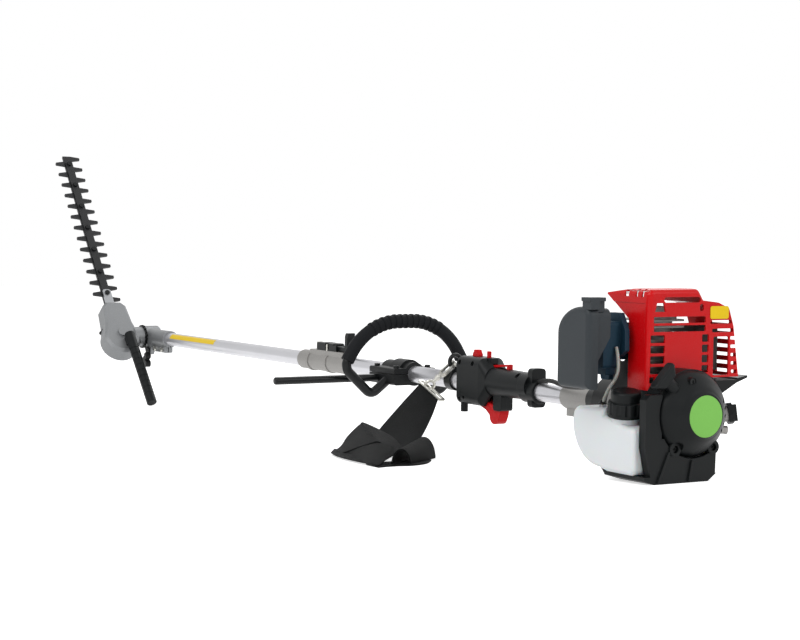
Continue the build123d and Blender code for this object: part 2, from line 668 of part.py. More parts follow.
# ---------------------------------------------------------------- harness

RING_X = 574.0
RING_Z = 28.0
RING_MAJOR = 10.0
RING_MINOR = 3.2
with BuildPart() as harness_ring:
    barrel(along(RING_X - 8), TUBE_R + 3, 16, TUBE_R)
    block(Plane.XY.offset(TUBE_R + 1), RING_X - 6, RING_X + 6, -6, 6, 7)
    with Locations(Location((RING_X, 0, RING_Z), (0, 90, 0))):
        Torus(RING_MAJOR, RING_MINOR)
save(harness_ring, "harness_ring")

# The hook hangs from the ring and carries the strap's flat ring
HOOK = Plane(origin=(RING_X, 8, RING_Z - 6), x_dir=(0.874, -0.30, 0.381), z_dir=(0, 0.795, 0.625))
HOOK_HALF = 9.2
HOOK_TOP = -9.0
HOOK_BOTTOM = 23.0
HOOK_BAR = 4.4
EYE_AT = 44.0
EYE_R = 7.0
EYE_WIRE = 2.2
GATE_TOP = 0.0
GATE_PIN = 17.0
with BuildPart() as snap_hook:
    with BuildSketch(HOOK.offset(-2.1)) as link:
        with Locations((0, (HOOK_TOP + HOOK_BOTTOM) / 2)):
            RectangleRounded(2 * HOOK_HALF, HOOK_BOTTOM - HOOK_TOP, HOOK_HALF - 0.1)
            inner_half = HOOK_HALF - HOOK_BAR
            inner_length = HOOK_BOTTOM - HOOK_TOP - 2 * HOOK_BAR
            RectangleRounded(2 * inner_half, inner_length, inner_half - 0.1, mode=Mode.SUBTRACT)
        with Locations((HOOK_HALF - 1, (GATE_TOP + GATE_PIN) / 2)):
            Rectangle(10, GATE_PIN - GATE_TOP, mode=Mode.SUBTRACT)
    extrude(link.sketch, amount=4.2)
    shank = Plane(origin=HOOK.from_local_coords(Vector(0, HOOK_BOTTOM - 1, 0)), z_dir=HOOK.y_dir)
    barrel(shank, 3, EYE_AT - EYE_R - HOOK_BOTTOM + 1)
    barrel(shank.offset(3), 4.5, 5)
    eye_centre = HOOK.from_local_coords(Vector(0, EYE_AT, 0))
    with BuildSketch(Plane(origin=eye_centre, x_dir=HOOK.y_dir, z_dir=HOOK.z_dir)) as eye_section:
        with Locations((EYE_R, 0)):
            Circle(EYE_WIRE)
    revolve(eye_section.sketch, axis=Axis(eye_centre, HOOK.x_dir))
save(snap_hook, "snap_hook")

with BuildPart() as hook_gate:
    block(HOOK.offset(-1.7), HOOK_HALF - 3.9, HOOK_HALF - 0.5, GATE_TOP + CLEAR, GATE_PIN - CLEAR, 3.4, rounding=1)
save(hook_gate, "hook_gate")

# The strap's flat ring hangs on the hook's eye; the webbing runs from it to the ground
STRAP_RING_W = 58.0
STRAP_RING_D = 13.0
STRAP_RING_BAR = 3.5
STRAP_RING_T = 3.0
HELD_AT = -13.0
held = HOOK.from_local_coords(Vector(0, EYE_AT + EYE_R - EYE_WIRE - STRAP_RING_BAR / 2 - 3 * CLEAR, 0))
loose = Plane(origin=held, x_dir=(-0.86, -0.14, -0.49), z_dir=(0.45, 0.12, -0.885))
STRAP_RING = Plane(
    origin=loose.from_local_coords(Vector(-HELD_AT, (STRAP_RING_D - STRAP_RING_BAR) / 2, -STRAP_RING_T / 2)),
    x_dir=loose.x_dir,
    z_dir=loose.z_dir,
)
with BuildPart() as strap_ring:
    with BuildSketch(STRAP_RING) as frame_outline:
        RectangleRounded(STRAP_RING_W, STRAP_RING_D, 4)
        inner_w = STRAP_RING_W - 2 * STRAP_RING_BAR
        RectangleRounded(inner_w, STRAP_RING_D - 2 * STRAP_RING_BAR, 2.5, mode=Mode.SUBTRACT)
    extrude(frame_outline.sketch, amount=STRAP_RING_T)
    fillet(strap_ring.edges(), 0.8)
save(strap_ring, "strap_ring")

WEBBING_W = 50.0
WEBBING_T = 2.5
PILE = [(262, 166), (262, 224), (330, 246), (474, 222), (508, 190), (500, 142), (420, 128)]
with BuildPart() as harness_strap:
    plate(GROUND.offset(0.3), PILE, 14, rounding=12)
    fold_plane = Plane(GROUND.origin, x_dir=GROUND.x_dir, z_dir=-GROUND.y_dir)
    plate(fold_plane.offset(-196), [(410, 10), (500, 10), (512, 44), (500, 44)], 48)
    run_top = STRAP_RING.from_local_coords(Vector(0, STRAP_RING_D / 2 + 6, 1.5))
    run_end = GROUND.from_local_coords(Vector(440, 150, 12))
    run_dir = (run_end - run_top).normalized()
    with BuildSketch(Plane(origin=run_top + run_dir * 2, x_dir=STRAP_RING.x_dir, z_dir=run_dir)) as web_end:
        Rectangle(WEBBING_W, WEBBING_T)
    extrude(web_end.sketch, amount=(run_end - run_top).length - 2)
save(harness_strap, "harness_strap")

# ---------------------------------------------------------------- throttle handle

GRIP_Z = 6.0
REAR_X = 384.0
THROAT_X = 462.0
SHOULDER_X = 478.0
FRONT_X = 535.0
HOUSING_TOP = 40.0
HOUSING_BOTTOM = -31.0
HOUSING_Y = 23.0
TRIGGER_PIVOT = (516.0, -20.5)
TRIGGER_HALF = 8.0
GUARD_X0 = 436.0
GUARD_X1 = 456.0
GUARD_BOTTOM = -35.0
LEVER_HALF = 4.0
LEVER_TIP = 427.5
LOCKOUT_PIVOT = (474.0, 22.0)
SWITCH_X0 = 505.5
SWITCH_X1 = 521.0
SWITCH_HALF = 4.0
BUTTON_X0 = 480.0
BUTTON_X1 = 486.0
SWITCH_BASE_X0 = 469.0
CABLE_STUB = (529.0, 12.0)

# Position along the tube, height and the depth of the screw head's face
HANDLE_SCREWS = [(528, 31, 20), (528, -24, 20), (494, 31, 20), (392, 20.5, 8)]


def handle_body():
    """Model the whole throttle handle: round grip, flared front housing and trigger guard."""
    sections = []
    for x, radius in ((REAR_X, 19.5), (420, 20.5), (THROAT_X, 21.5)):
        with BuildSketch(along(x)) as ring:
            with Locations((0, GRIP_Z)):
                Circle(radius)
        sections.append(ring.sketch)
    loft(sections)
    middle = (HOUSING_TOP + HOUSING_BOTTOM) / 2
    with BuildSketch(along(THROAT_X)) as throat:
        with Locations((0, GRIP_Z)):
            RectangleRounded(43, 43, 18)
    with BuildSketch(along(SHOULDER_X)) as shoulder:
        with Locations((0, middle)):
            RectangleRounded(2 * HOUSING_Y, HOUSING_TOP - HOUSING_BOTTOM, 12)
    loft([throat.sketch, shoulder.sketch])
    extrude(shoulder.sketch, amount=FRONT_X - SHOULDER_X)
    block(Plane.XY, SWITCH_BASE_X0, SHOULDER_X + 20, -9, 9, HOUSING_TOP, rounding=3)
    block(across(TRIGGER_HALF + 2.5), GUARD_X0, GUARD_X1, GUARD_BOTTOM, -4, 2 * TRIGGER_HALF + 5, rounding=4)
    drill(along(REAR_X - 1), TUBE_R, FRONT_X)
    block(across(TRIGGER_HALF + 0.5), GUARD_X0 + 3, 524, -60, -14.6, 2 * TRIGGER_HALF + 1, mode=Mode.SUBTRACT)
    lever_slot = LEVER_HALF + 0.5
    block(Plane.XY.offset(19), LEVER_TIP - 3, SWITCH_BASE_X0, -lever_slot, lever_slot, 40, mode=Mode.SUBTRACT)
    block(Plane.XY.offset(16), SWITCH_BASE_X0 - 1, 480.5, -lever_slot, lever_slot, 15, mode=Mode.SUBTRACT)
    block(Plane.XY.offset(30), SWITCH_X0 + 6, SWITCH_X1 + 4, -2.5, 2.5, 40, mode=Mode.SUBTRACT)
    block(Plane.XY.offset(32.5), BUTTON_X0 - 0.3, BUTTON_X1 + 0.3, -2.8, 2.8, 40, mode=Mode.SUBTRACT)
    drill(across(40) * Pos(*TRIGGER_PIVOT), 2.5, 80)
    for x, z, head_y in HANDLE_SCREWS:
        drill(across(40) * Pos(x, z), 2.05, 80)
        drill(across(40) * Pos(x, z), 3.7, 40 - head_y + 3.1)
    drill(across(9.5) * Pos(*LOCKOUT_PIVOT), 1.5 + RUN, 19)


with BuildPart() as handle_left:
    handle_body()
    split(bisect_by=Plane.XZ, keep=Keep.BOTTOM)
    barrel(Plane.XY.offset(HOUSING_BOTTOM + 1) * Pos(*CABLE_STUB), 5.5, -13)
save(handle_left, "handle_left")

with BuildPart() as handle_right:
    handle_body()
    split(bisect_by=Plane.XZ, keep=Keep.TOP)
save(handle_right, "handle_right")

COLLAR_END = 350.0
EAR_X0 = 357.0
EAR_X1 = 368.0
EAR_TOP = 33.0
EAR_BOTTOM = -22.5
with BuildPart() as rear_collar:
    barrel(along(COLLAR_END), TUBE_R + 4, REAR_X - COLLAR_END)
    barrel(along(EAR_X1 - 2) * Pos(0, GRIP_Z), 19.5, REAR_X - EAR_X1 + 2)
    ears_middle = (EAR_TOP + EAR_BOTTOM) / 2
    with BuildSketch(along(EAR_X0)) as ears:
        with Locations((0, ears_middle)):
            RectangleRounded(24, EAR_TOP - EAR_BOTTOM, 6)
    extrude(amount=EAR_X1 - EAR_X0)
    fillet(rear_collar.faces().sort_by(Axis.X)[0].edges(), 2)
    drill(along(COLLAR_END), TUBE_R, 50)
save(rear_collar, "rear_collar")

with BuildPart() as trigger:
    with BuildSketch(across(TRIGGER_HALF)):
        with Locations(TRIGGER_PIVOT):
            Circle(5.6)
        with BuildLine():
            Polyline(
                (TRIGGER_PIVOT[0] - 3, -15.8),
                (TRIGGER_PIVOT[0] + 3, -25),
                (500, -29.5),
                (478, -36),
                (468, -43),
            )
            ThreePointArc((468, -43), (457, -55.5), (446, -50))
            Polyline((446, -50), (442, -41), (440.5, -33), (444, -31), (TRIGGER_PIVOT[0] - 3, -15.8))
        make_face()
    extrude(amount=2 * TRIGGER_HALF)
    drill(across(20) * Pos(*TRIGGER_PIVOT), 2.5 + RUN, 40)
    block(across(TRIGGER_HALF - 2.5), 449, 472, -40, -22, 2 * TRIGGER_HALF - 5, mode=Mode.SUBTRACT)
save(trigger, "trigger")

with BuildPart() as lockout_lever:
    with BuildSketch(across(LEVER_HALF)):
        Polygon(
            (479, 19.5),
            (479, 25.5),
            (467, 30.3),
            (432, 33.5),
            (LEVER_TIP, 33.5),
            (LEVER_TIP, 25),
            (431, 25),
            (432, 30.5),
            (465, 27),
            (470, 19.5),
        )
    extrude(amount=2 * LEVER_HALF)
    barrel(across(9.4) * Pos(*LOCKOUT_PIVOT), 1.5, 18.8)
save(lockout_lever, "lockout_lever")

with BuildPart() as stop_switch:
    plate(
        across(SWITCH_HALF),
        [
            (SWITCH_X0, HOUSING_TOP + 0.1),
            (SWITCH_X1, HOUSING_TOP + 0.1),
            (SWITCH_X1, HOUSING_TOP + 3),
            (SWITCH_X1 - 4, HOUSING_TOP + 10),
            (SWITCH_X0 + 4, HOUSING_TOP + 10),
            (SWITCH_X0, HOUSING_TOP + 3),
        ],
        2 * SWITCH_HALF,
    )
    block(Plane.XY.offset(HOUSING_TOP - 6), SWITCH_X0 + 6.3, SWITCH_X0 + 11, -2.2, 2.2, 7)
save(stop_switch, "stop_switch")

with BuildPart() as hold_button:
    block(Plane.XY.offset(HOUSING_TOP - 3), BUTTON_X0, BUTTON_X1, -2.5, 2.5, 12.5, rounding=1)
    fillet(hold_button.faces().sort_by(Axis.Z)[-1].edges(), 0.8)
save(hold_button, "hold_button")

# ---------------------------------------------------------------- engine

FAN_X0 = 30.0
FAN_X1 = 56.0
FAN_R = 56.0
BLOCK_FRONT = 152.0
CRANKCASE_R = 42.0
CYL_X = 108.0
HEAD_TOP = 132.0
CAP_AT = Vector(74, 69, 0)
CAP_AXIS = Vector(-0.15, 0.1, 0.98).normalized()
CAP_PLANE = Plane(origin=CAP_AT, z_dir=CAP_AXIS)
NECK_OUTER = 18.0
NECK_TOP = 12.0
CAP_BOTTOM = -4.0
CAP_R = 22.6
CAP_SKIRT = 19.0
CAP_CROWN_R = 18.8
CAP_HEIGHT = 33.0
EARS = [(31, -43), (-31, -43)]  # the guard's ears sit in the casing here
EAR_R = 9.0
TOP_BOSS = (12, 42)
TOP_BOSS_X = 11.0
TOP_SCREW = 17.0  # length of the short screw that holds the dome to its inner ring
BOSS_R = 5.5

# The casing carries the black shroud that turns the fan's air over the cylinder
SHROUD_X1 = 136.0
SHROUD_Y = 43.8
INTAKE = (116.0, 74.0)
INTAKE_R = 10.5

with BuildPart() as starter_housing:
    with BuildSketch(Plane.XZ) as dome:
        with BuildLine():
            Polyline((0, 0), (0, 28), (2.5, 31))
            Spline((2.5, 31), (10, 40), (20, 50), (FAN_X0, FAN_R - 1), tangents=[(0.6, 1), (1, 0.25)])
            Polyline((FAN_X0, FAN_R - 1), (FAN_X0, FAN_R), (FAN_X1, FAN_R), (FAN_X1, 0), (0, 0))
        make_face()
    revolve(dome.sketch, axis=Axis.X)
    with BuildSketch(Plane.XZ) as room:
        Polygon((WALL, 0), (WALL, 26), (12, 37), (FAN_X0, FAN_R - 6), (FAN_X1, FAN_R - 6), (FAN_X1, 0))
    revolve(room.sketch, axis=Axis.X, mode=Mode.SUBTRACT)
    for y, z in EARS:
        barrel(along(FAN_X0) * Pos(y, z), EAR_R - 1, FAN_X1 - FAN_X0)
        drill(along(8) * Pos(y, z), EAR_R + CLEAR, FAN_X0 - 8)
    barrel(along(TOP_BOSS_X) * Pos(*TOP_BOSS), BOSS_R, FAN_X0 - TOP_BOSS_X)
    for y, z in EARS:
        drill(along(21) * Pos(y, z), 2.5, 40)
    drill(along(TOP_BOSS_X) * Pos(*TOP_BOSS), 2.5, TOP_SCREW + 1)
    drill(along(TOP_BOSS_X) * Pos(*TOP_BOSS), 4.4, 3.5)
    with BuildSketch(along(8)) as intake:
        with PolarLocations(43, 5, start_angle=158, angular_range=65):
            SlotOverall(13, 3.6)
    extrude(intake.sketch, amount=16, mode=Mode.SUBTRACT)
    barrel(Plane(origin=(22, 34, 32), z_dir=(0, 0.73, 0.684)), 8, 15.5)
    drill(Plane(origin=(22, 28, 26), z_dir=(0, 0.73, 0.684)), 2.2, 40)
    drill(CAP_PLANE.offset(CAP_BOTTOM - 2), CAP_R + CLEAR, 60)
    with BuildSketch(across(SHROUD_Y)) as shroud:
        with Locations((FAN_X1 + 2, 22)):
            Rectangle(12, 16)
        with Locations(((FAN_X1 + 7 + SHROUD_X1) / 2, 63)):
            Rectangle(SHROUD_X1 - FAN_X1 - 7, 98)
        with Locations(INTAKE):
            Circle(INTAKE_R + 2, mode=Mode.SUBTRACT)
    extrude(shroud.sketch, amount=WALL)
save(starter_housing, "starter_housing")

ROPE_DIR = Vector(0, 0.73, 0.684)
ROPE_START = Vector(22, 34, 32)
PULL_AT = ROPE_START + ROPE_DIR * 15.8
with BuildPart() as starter_rope:
    barrel(Plane(origin=ROPE_START + ROPE_DIR * -8, z_dir=ROPE_DIR), 1.8, 31)
save(starter_rope, "starter_rope")

with BuildPart() as starter_grip:
    with BuildSketch(Plane(origin=PULL_AT, x_dir=(0, -0.684, 0.73), z_dir=ROPE_DIR)) as foot:
        RectangleRounded(26, 17, 5)
    with BuildSketch(Plane(origin=PULL_AT + ROPE_DIR * 13, x_dir=(0, -0.684, 0.73), z_dir=ROPE_DIR)) as crown:
        RectangleRounded(50, 15, 7)
    loft([foot.sketch, crown.sketch])
    fillet(starter_grip.edges().group_by(Axis((0, 0, 0), tuple(ROPE_DIR)))[-1], 3)
    drill(Plane(origin=PULL_AT - ROPE_DIR, z_dir=ROPE_DIR), 2.1, 8.2)
save(starter_grip, "starter_grip")

with BuildPart() as flywheel:
    barrel(along(FAN_X0 + 4), 42, 4)
    with BuildSketch(along(FAN_X0 + 8)) as vanes:
        with PolarLocations(32, 14):
            Rectangle(20, 2.5)
    extrude(vanes.sketch, amount=12)
    barrel(along(FAN_X0 + 2), 14, 20)
    barrel(along(10), 6, DRUM_BACK - 10)
    barrel(along(DRUM_BACK), 33, DRUM_FRONT - DRUM_BACK)
    barrel(along(10), 22, 14)
save(flywheel, "flywheel")

FIN_HALF = 32.0
FILLER_FOOT = Vector(76, -36, -13)
FILLER_DIR = Vector(-0.44, -0.885, 0.14).normalized()
FILLER_R = 10.0
FILLER_LENGTH = 51.0
DRAIN_DIR = Vector(-0.28, -0.95, -0.1).normalized()
CYL_Y = 30.0  # half width of the cylinder across the pole
with BuildPart() as engine_block:
    barrel(along(FAN_X1), CRANKCASE_R, BLOCK_FRONT - FAN_X1)
    fillet(engine_block.edges().filter_by(GeomType.CIRCLE).sort_by(Axis.X)[-1], 6)
    barrel(Plane.XY * Pos(CYL_X, 0), 25, HEAD_TOP - 8)
    for n in range(9):
        block(
            Plane.XY.offset(46 + 8.5 * n),
            CYL_X - FIN_HALF,
            CYL_X + FIN_HALF,
            -CYL_Y,
            CYL_Y,
            2.4,
            rounding=8,
        )
    block(Plane.XY.offset(HEAD_TOP - 16), CYL_X - 24, CYL_X + 24, -24, 24, 16, rounding=8)
    block(along(FAN_X1), -36, 36, -44, 0, BLOCK_FRONT - FAN_X1 - 8, rounding=6)
    block(Plane.XY.offset(34), CYL_X - 22, CYL_X + 22, -46, -20, 22)
    drill(along(FAN_X1), 6 + RUN, 100)
    barrel(Plane(origin=FILLER_FOOT, z_dir=FILLER_DIR), FILLER_R, FILLER_LENGTH)
    barrel(Plane(origin=(68, -34, -22), z_dir=DRAIN_DIR), 5.5, 50)
    drill(Plane(origin=FILLER_FOOT, z_dir=FILLER_DIR), 7, FILLER_LENGTH + 5)
save(engine_block, "engine_block")

with BuildPart() as oil_cap:
    seat = Plane(origin=FILLER_FOOT + FILLER_DIR * (FILLER_LENGTH + 0.2), z_dir=FILLER_DIR)
    with BuildSketch(seat) as rim:
        RegularPolygon(14, 8)
    extrude(rim.sketch, amount=7)
    block(seat, -3, 3, -11, 11, 13, rounding=1)
    barrel(seat, 7 - RUN, -14)
save(oil_cap, "oil_cap")

CLUTCH_R = 40.0
with BuildPart() as clutch_housing:
    with BuildSketch(Plane.XZ) as bell:
        Polygon(
            (BLOCK_FRONT + 0.1, 0),
            (BLOCK_FRONT + 0.1, CLUTCH_R),
            (186, CLUTCH_R - 2),
            (208, 21),
            (225, 18),
            (285, 17),
            (285, 0),
        )
    revolve(bell.sketch, axis=Axis.X)
    block(along(240), -8, 8, -26, 0, 40, rounding=0)
    with BuildSketch(Plane.XZ) as drum_room:
        Polygon((BLOCK_FRONT, 0), (BLOCK_FRONT, 35), (DRUM_FRONT + 3, 35), (DRUM_FRONT + 3, 0))
    revolve(drum_room.sketch, axis=Axis.X, mode=Mode.SUBTRACT)
    drill(along(CLUTCH_SOCKET), TUBE_R, 90)
    drill(along(DRUM_FRONT), SHAFT_R + RUN, 60)
    block(along(236), -1, 1, -28, -10, 60, mode=Mode.SUBTRACT)
    drill(across(12) * Pos(260, -20.5), 2.5, 24)
save(clutch_housing, "clutch_housing")

# Red top cover, a hood open below and in front
COVER_X0 = FAN_X1 + CLEAR
COVER_X1 = 142.0
COVER_FLOOR = 42.0
COVER_LEFT = 48.0
COVER_OUTLINE = [
    (COVER_LEFT, 28),
    (COVER_LEFT, 156),
    (-34, 156.5),
    (-44, 141),
    (-66, 138.5),
    (-84, 131),
    (-92, 108),
    (-102, COVER_FLOOR),
]
COVER_ROOM = [(45.5, 20), (45.5, 153.5), (-32.6, 154), (-42.5, 138.6), (-65, 136), (-81.8, 129), (-89.5, 107)]
LADDER_ROWS = [93, 79.8, 66.6, 53.4]
VENT_ROWS = [92.3, 81.4, 70.5, 59.6, 48.7]
CORNER_R = 7.0


def roof_wedge(drop):
    """Cut the cover's roof down towards the cylinder's far side, from the middle of its length."""
    top = COVER_OUTLINE[1][1] + 1
    plate(across(60), [(88, top - drop), (175, top - 12.2 - drop), (175, top + 9), (88, top + 9)], 120, mode=Mode.SUBTRACT)


with BuildPart() as top_cover:
    plate(along(COVER_X0), [*COVER_OUTLINE, (-56, COVER_FLOOR), (-50, 30)], COVER_X1 - COVER_X0)
    fillet(top_cover.edges().filter_by(Axis.X).sort_by(Axis.Z)[-2:], 9)
    roof_wedge(0)
    fillet(top_cover.faces().sort_by(Axis.X)[0].edges().filter_by(Axis.Z).sort_by(Axis.Y)[-1], CORNER_R)
    with BuildPart() as cover_room:
        plate(along(COVER_X0 + WALL), [*COVER_ROOM, (-99, COVER_FLOOR - 5)], COVER_X1)
        fillet(cover_room.faces().sort_by(Axis.X)[0].edges().filter_by(Axis.Z).sort_by(Axis.Y)[-1], CORNER_R - WALL)
        roof_wedge(WALL)
    add(cover_room.part, mode=Mode.SUBTRACT)
    drill(along(COVER_X0 - 1), FAN_R - 2, COVER_X1)
    plate(across(60), [(98, 10), (98, 117), (141, 147), (175, 147), (175, 10)], 30, mode=Mode.SUBTRACT)
    block(across(60), COVER_X0 + 9, COVER_X1, 10, 138, 60 - COVER_LEFT + 0.8, mode=Mode.SUBTRACT)
    drill(CAP_PLANE.offset(CAP_BOTTOM - 2), CAP_R + CLEAR, 60)
    with BuildSketch(along(COVER_X0 - 1)) as grille:
        with Locations((-6, 142.5)):
            SlotOverall(60, 7)
        with Locations((30, 133)):
            Trapezoid(17, 11, 75)
        with Locations((-38, 132.3)):
            SlotOverall(9.5, 6.5, rotation=90)
        with Locations((-2.3, 117), (-2.5, 106)):
            RectangleRounded(85, 8, 1.5)
        with Locations(*[(33, row) for row in LADDER_ROWS]):
            RectangleRounded(22.5, 9.6, 1.5)
        with Locations(*[(-45, row) for row in LADDER_ROWS]):
            RectangleRounded(11, 9.6, 1.5)
        with Locations((41, 41), (-47.5, 40)):
            RectangleRounded(7.5, 8, 1.5)
        with Locations((-71, 113.5), (-74, 102.5)):
            RectangleRounded(36, 4.6, 1.5)
        with Locations((-71.5, 69.5)):
            RectangleRounded(26, 50, 2)
        with Locations(*[(-91.5 - 0.06 * (92 - row), row) for row in VENT_ROWS]):
            RectangleRounded(9, 4.6, 1)
    extrude(grille.sketch, amount=8, mode=Mode.SUBTRACT)
    for row in (113.5, 102.5, *VENT_ROWS):
        block(Plane.XY.offset(row - 2.3), COVER_X0 + 6, COVER_X0 + 40, -110, -84, 4.6, mode=Mode.SUBTRACT)
    for x, width in ((COVER_X0 + 14, 4), (COVER_X0 + 26, 4), (COVER_X0 + 46, 8)):
        block(Plane.XY.offset(146), x - width / 2, x + width / 2, 36, 60, 30, mode=Mode.SUBTRACT)
save(top_cover, "top_cover")

with BuildPart() as muffler:
    block(Plane.XY.offset(50), 74, 140, -86, -47, 58, rounding=10)
    fillet(muffler.edges().group_by(Axis.Z)[-1], 5)
    barrel(Plane(origin=(107, -46.5, 62), z_dir=(0, -1, 0)), 10, 8)
save(muffler, "muffler")

GUARD_SECTION = [
    (-46, 24),
    (-62, 14),
    (-100, 34),
    (-118, 40),
    (-118, 43),
    (-102.5, 40),
    (-100, 37.6),
    (-59, 37.6),
    (-54, 33),
]
with BuildPart() as muffler_guard:
    plate(along(FAN_X1 + CLEAR), GUARD_SECTION, 95)
    block(Plane.XY.offset(33), 62, 146, -94, -62, -30, mode=Mode.SUBTRACT)
save(muffler_guard, "muffler_guard")

AIR_Y0 = 92.0
AIR_Y1 = 112.0
AIR_Y2 = 128.0
AIR_X0 = 76.0
AIR_X1 = 144.0
AIR_Z0 = 30.0
AIR_Z1 = 133.5
AIR_BROW = (48.0, 35.0)  # length and drop of the big rounded corner
LATCH_X0 = 78.0
LATCH_X1 = 90.0
LATCH_RISE = 7.0


def air_outline(inset):
    """Draw the air cleaner from the side, its upper front corner well rounded."""
    long, tall = AIR_BROW
    with BuildLine() as rim:
        start = (AIR_X0 + inset, AIR_Z0 + inset)
        brow = (AIR_X1 - long, AIR_Z1 - inset)
        FilletPolyline(start, (AIR_X0 + inset, AIR_Z1 - inset), brow, radius=12 - inset)
        EllipticalCenterArc((AIR_X1 - long, AIR_Z1 - tall), long - inset, tall - inset, 0, arc_size=90)
        FilletPolyline((AIR_X1 - inset, AIR_Z1 - tall), (AIR_X1 - inset, AIR_Z0 + inset), start, radius=9 - inset)
    make_face(rim.edges())


with BuildPart() as air_filter_case:
    with BuildSketch(across(AIR_Y1)) as case_face:
        air_outline(2)
    extrude(case_face.sketch, amount=AIR_Y1 - AIR_Y0)
    under = [(AIR_Y1 + 1, 62), (AIR_Y0 - 1, 97), (AIR_Y0 - 1, 0), (AIR_Y1 + 1, 0)]
    plate(along(AIR_X0 - 1), under, AIR_X1, mode=Mode.SUBTRACT)
    block(across(AIR_Y1), LATCH_X0, LATCH_X1, AIR_Z1 - 6, AIR_Z1 + LATCH_RISE, 10)
save(air_filter_case, "air_filter_case")

with BuildPart() as air_filter_cover:
    with BuildSketch(across(AIR_Y2)) as cover_face:
        air_outline(0)
    extrude(cover_face.sketch, amount=AIR_Y2 - AIR_Y1 - SLIDE)
    fillet(air_filter_cover.faces().sort_by(Axis.Y)[-1].edges(), 7)
    with BuildSketch(across(AIR_Y2 - 4)) as tray:
        air_outline(3)
    extrude(tray.sketch, amount=AIR_Y2 - AIR_Y1, mode=Mode.SUBTRACT)
    lip_z = AIR_Z1 + LATCH_RISE + SLIDE
    block(across(AIR_Y2 - 2), LATCH_X0 - 4, LATCH_X1 + 2, AIR_Z1 - 3, lip_z + 1, 13.9)
    block(across(AIR_Y2), LATCH_X0 - 4, LATCH_X1 + 2, lip_z, lip_z + 5, 25, rounding=1)
save(air_filter_cover, "air_filter_cover")

INSULATOR = [(112, 125), (93, 125), (82, 104), (81, 77), (98, 66), (112, 50), (114, 38), (130, 38), (134, 60), (130, 118)]
INSULATOR_Y = 65.8
INSULATOR_T = 7.0
with BuildPart() as carburettor:
    plate(across(INSULATOR_Y), INSULATOR, INSULATOR_T, rounding=3)
    block(across(AIR_Y0 - SLIDE), 92, 130, 55, 114, AIR_Y0 - SLIDE - INSULATOR_Y, rounding=4)
    block(across(84), 96, 122, 46, 58, 14, rounding=2)
    barrel(Plane(origin=(INTAKE[0], CYL_Y + CLEAR, INTAKE[1]), z_dir=(0, 1, 0)), INTAKE_R, INSULATOR_Y - CYL_Y - 3)
save(carburettor, "carburettor")

# ---------------------------------------------------------------- fuel tank and guard

GUARD_TOP = 9.2 - AXIS_HEIGHT
GUARD_X = 22.0
TANK_X0 = 36.3
TANK_NOSE = 164.0
TANK_TOP = 5.0
TANK_BOTTOM = GUARD_TOP + 0.4
TANK_Y0 = -36.0
TANK_Y1 = 86.0
DISH_X = 47.0  # the filler stands in a dish of this radius
DISH_R = 55.0
DISH_Z = 39.0
BELLY = (108.0, TANK_BOTTOM + 3.8)  # where the nose's round meets the flat underside


def dish_height(x):
    """Return how high the dish's surface is at a place along the tank."""
    return DISH_Z - (DISH_R**2 - (x - DISH_X) ** 2) ** 0.5


def tank_body(inset):
    """Build the tank drawn in by an inset: its side view, less the room beside and below the crankcase."""
    dish_end = DISH_X + (DISH_R**2 - (DISH_Z - TANK_TOP) ** 2) ** 0.5
    with BuildSketch(across(TANK_Y1 - inset)) as side:
        with BuildLine() as rim:
            Polyline(BELLY, (BELLY[0] - 16, TANK_BOTTOM), (TANK_X0, TANK_BOTTOM))
            Line((TANK_X0, TANK_BOTTOM), (TANK_X0, dish_height(TANK_X0)))
            ThreePointArc(
                (TANK_X0, dish_height(TANK_X0)), (DISH_X + 25, dish_height(DISH_X + 25)), (dish_end, TANK_TOP)
            )
            FilletPolyline((dish_end, TANK_TOP), (TANK_NOSE - 4, TANK_TOP - 3), (TANK_NOSE, -14), radius=12)
            ThreePointArc((TANK_NOSE, -14), (150, 0.7 * TANK_BOTTOM), BELLY)
        make_face(rim.edges())
        fillet(side.vertices().group_by(Axis.X)[0], 8)
        if inset:
            offset(amount=-inset)
    extrude(side.sketch, amount=TANK_Y1 - TANK_Y0 - 2 * inset)
    drill(along(10), FAN_R + 6 + inset, 50 + inset)
    block(Plane.XY.offset(-46 - inset), 10, 190, TANK_Y0 - 5, 46 + inset, 80, mode=Mode.SUBTRACT)
    drill(CAP_PLANE.offset(CAP_BOTTOM - 3 - inset), CAP_R + 3 + inset, 60)


with BuildPart() as fuel_tank:
    tank_body(0)
    fillet(fuel_tank.faces().sort_by(Axis.Y)[-1].edges(), 6)
    barrel(CAP_PLANE.offset(-14), NECK_OUTER, NECK_TOP + 14)
    barrel(Plane.XY.offset(1) * Pos(117, 72), 5, 5)
    with BuildPart() as tank_room:
        tank_body(WALL)
        fillet(tank_room.faces().sort_by(Axis.Y)[-1].edges(), 3)
    add(tank_room.part, mode=Mode.SUBTRACT)
    drill(CAP_PLANE.offset(-22), NECK_OUTER - 3, 50)
save(fuel_tank, "fuel_tank")

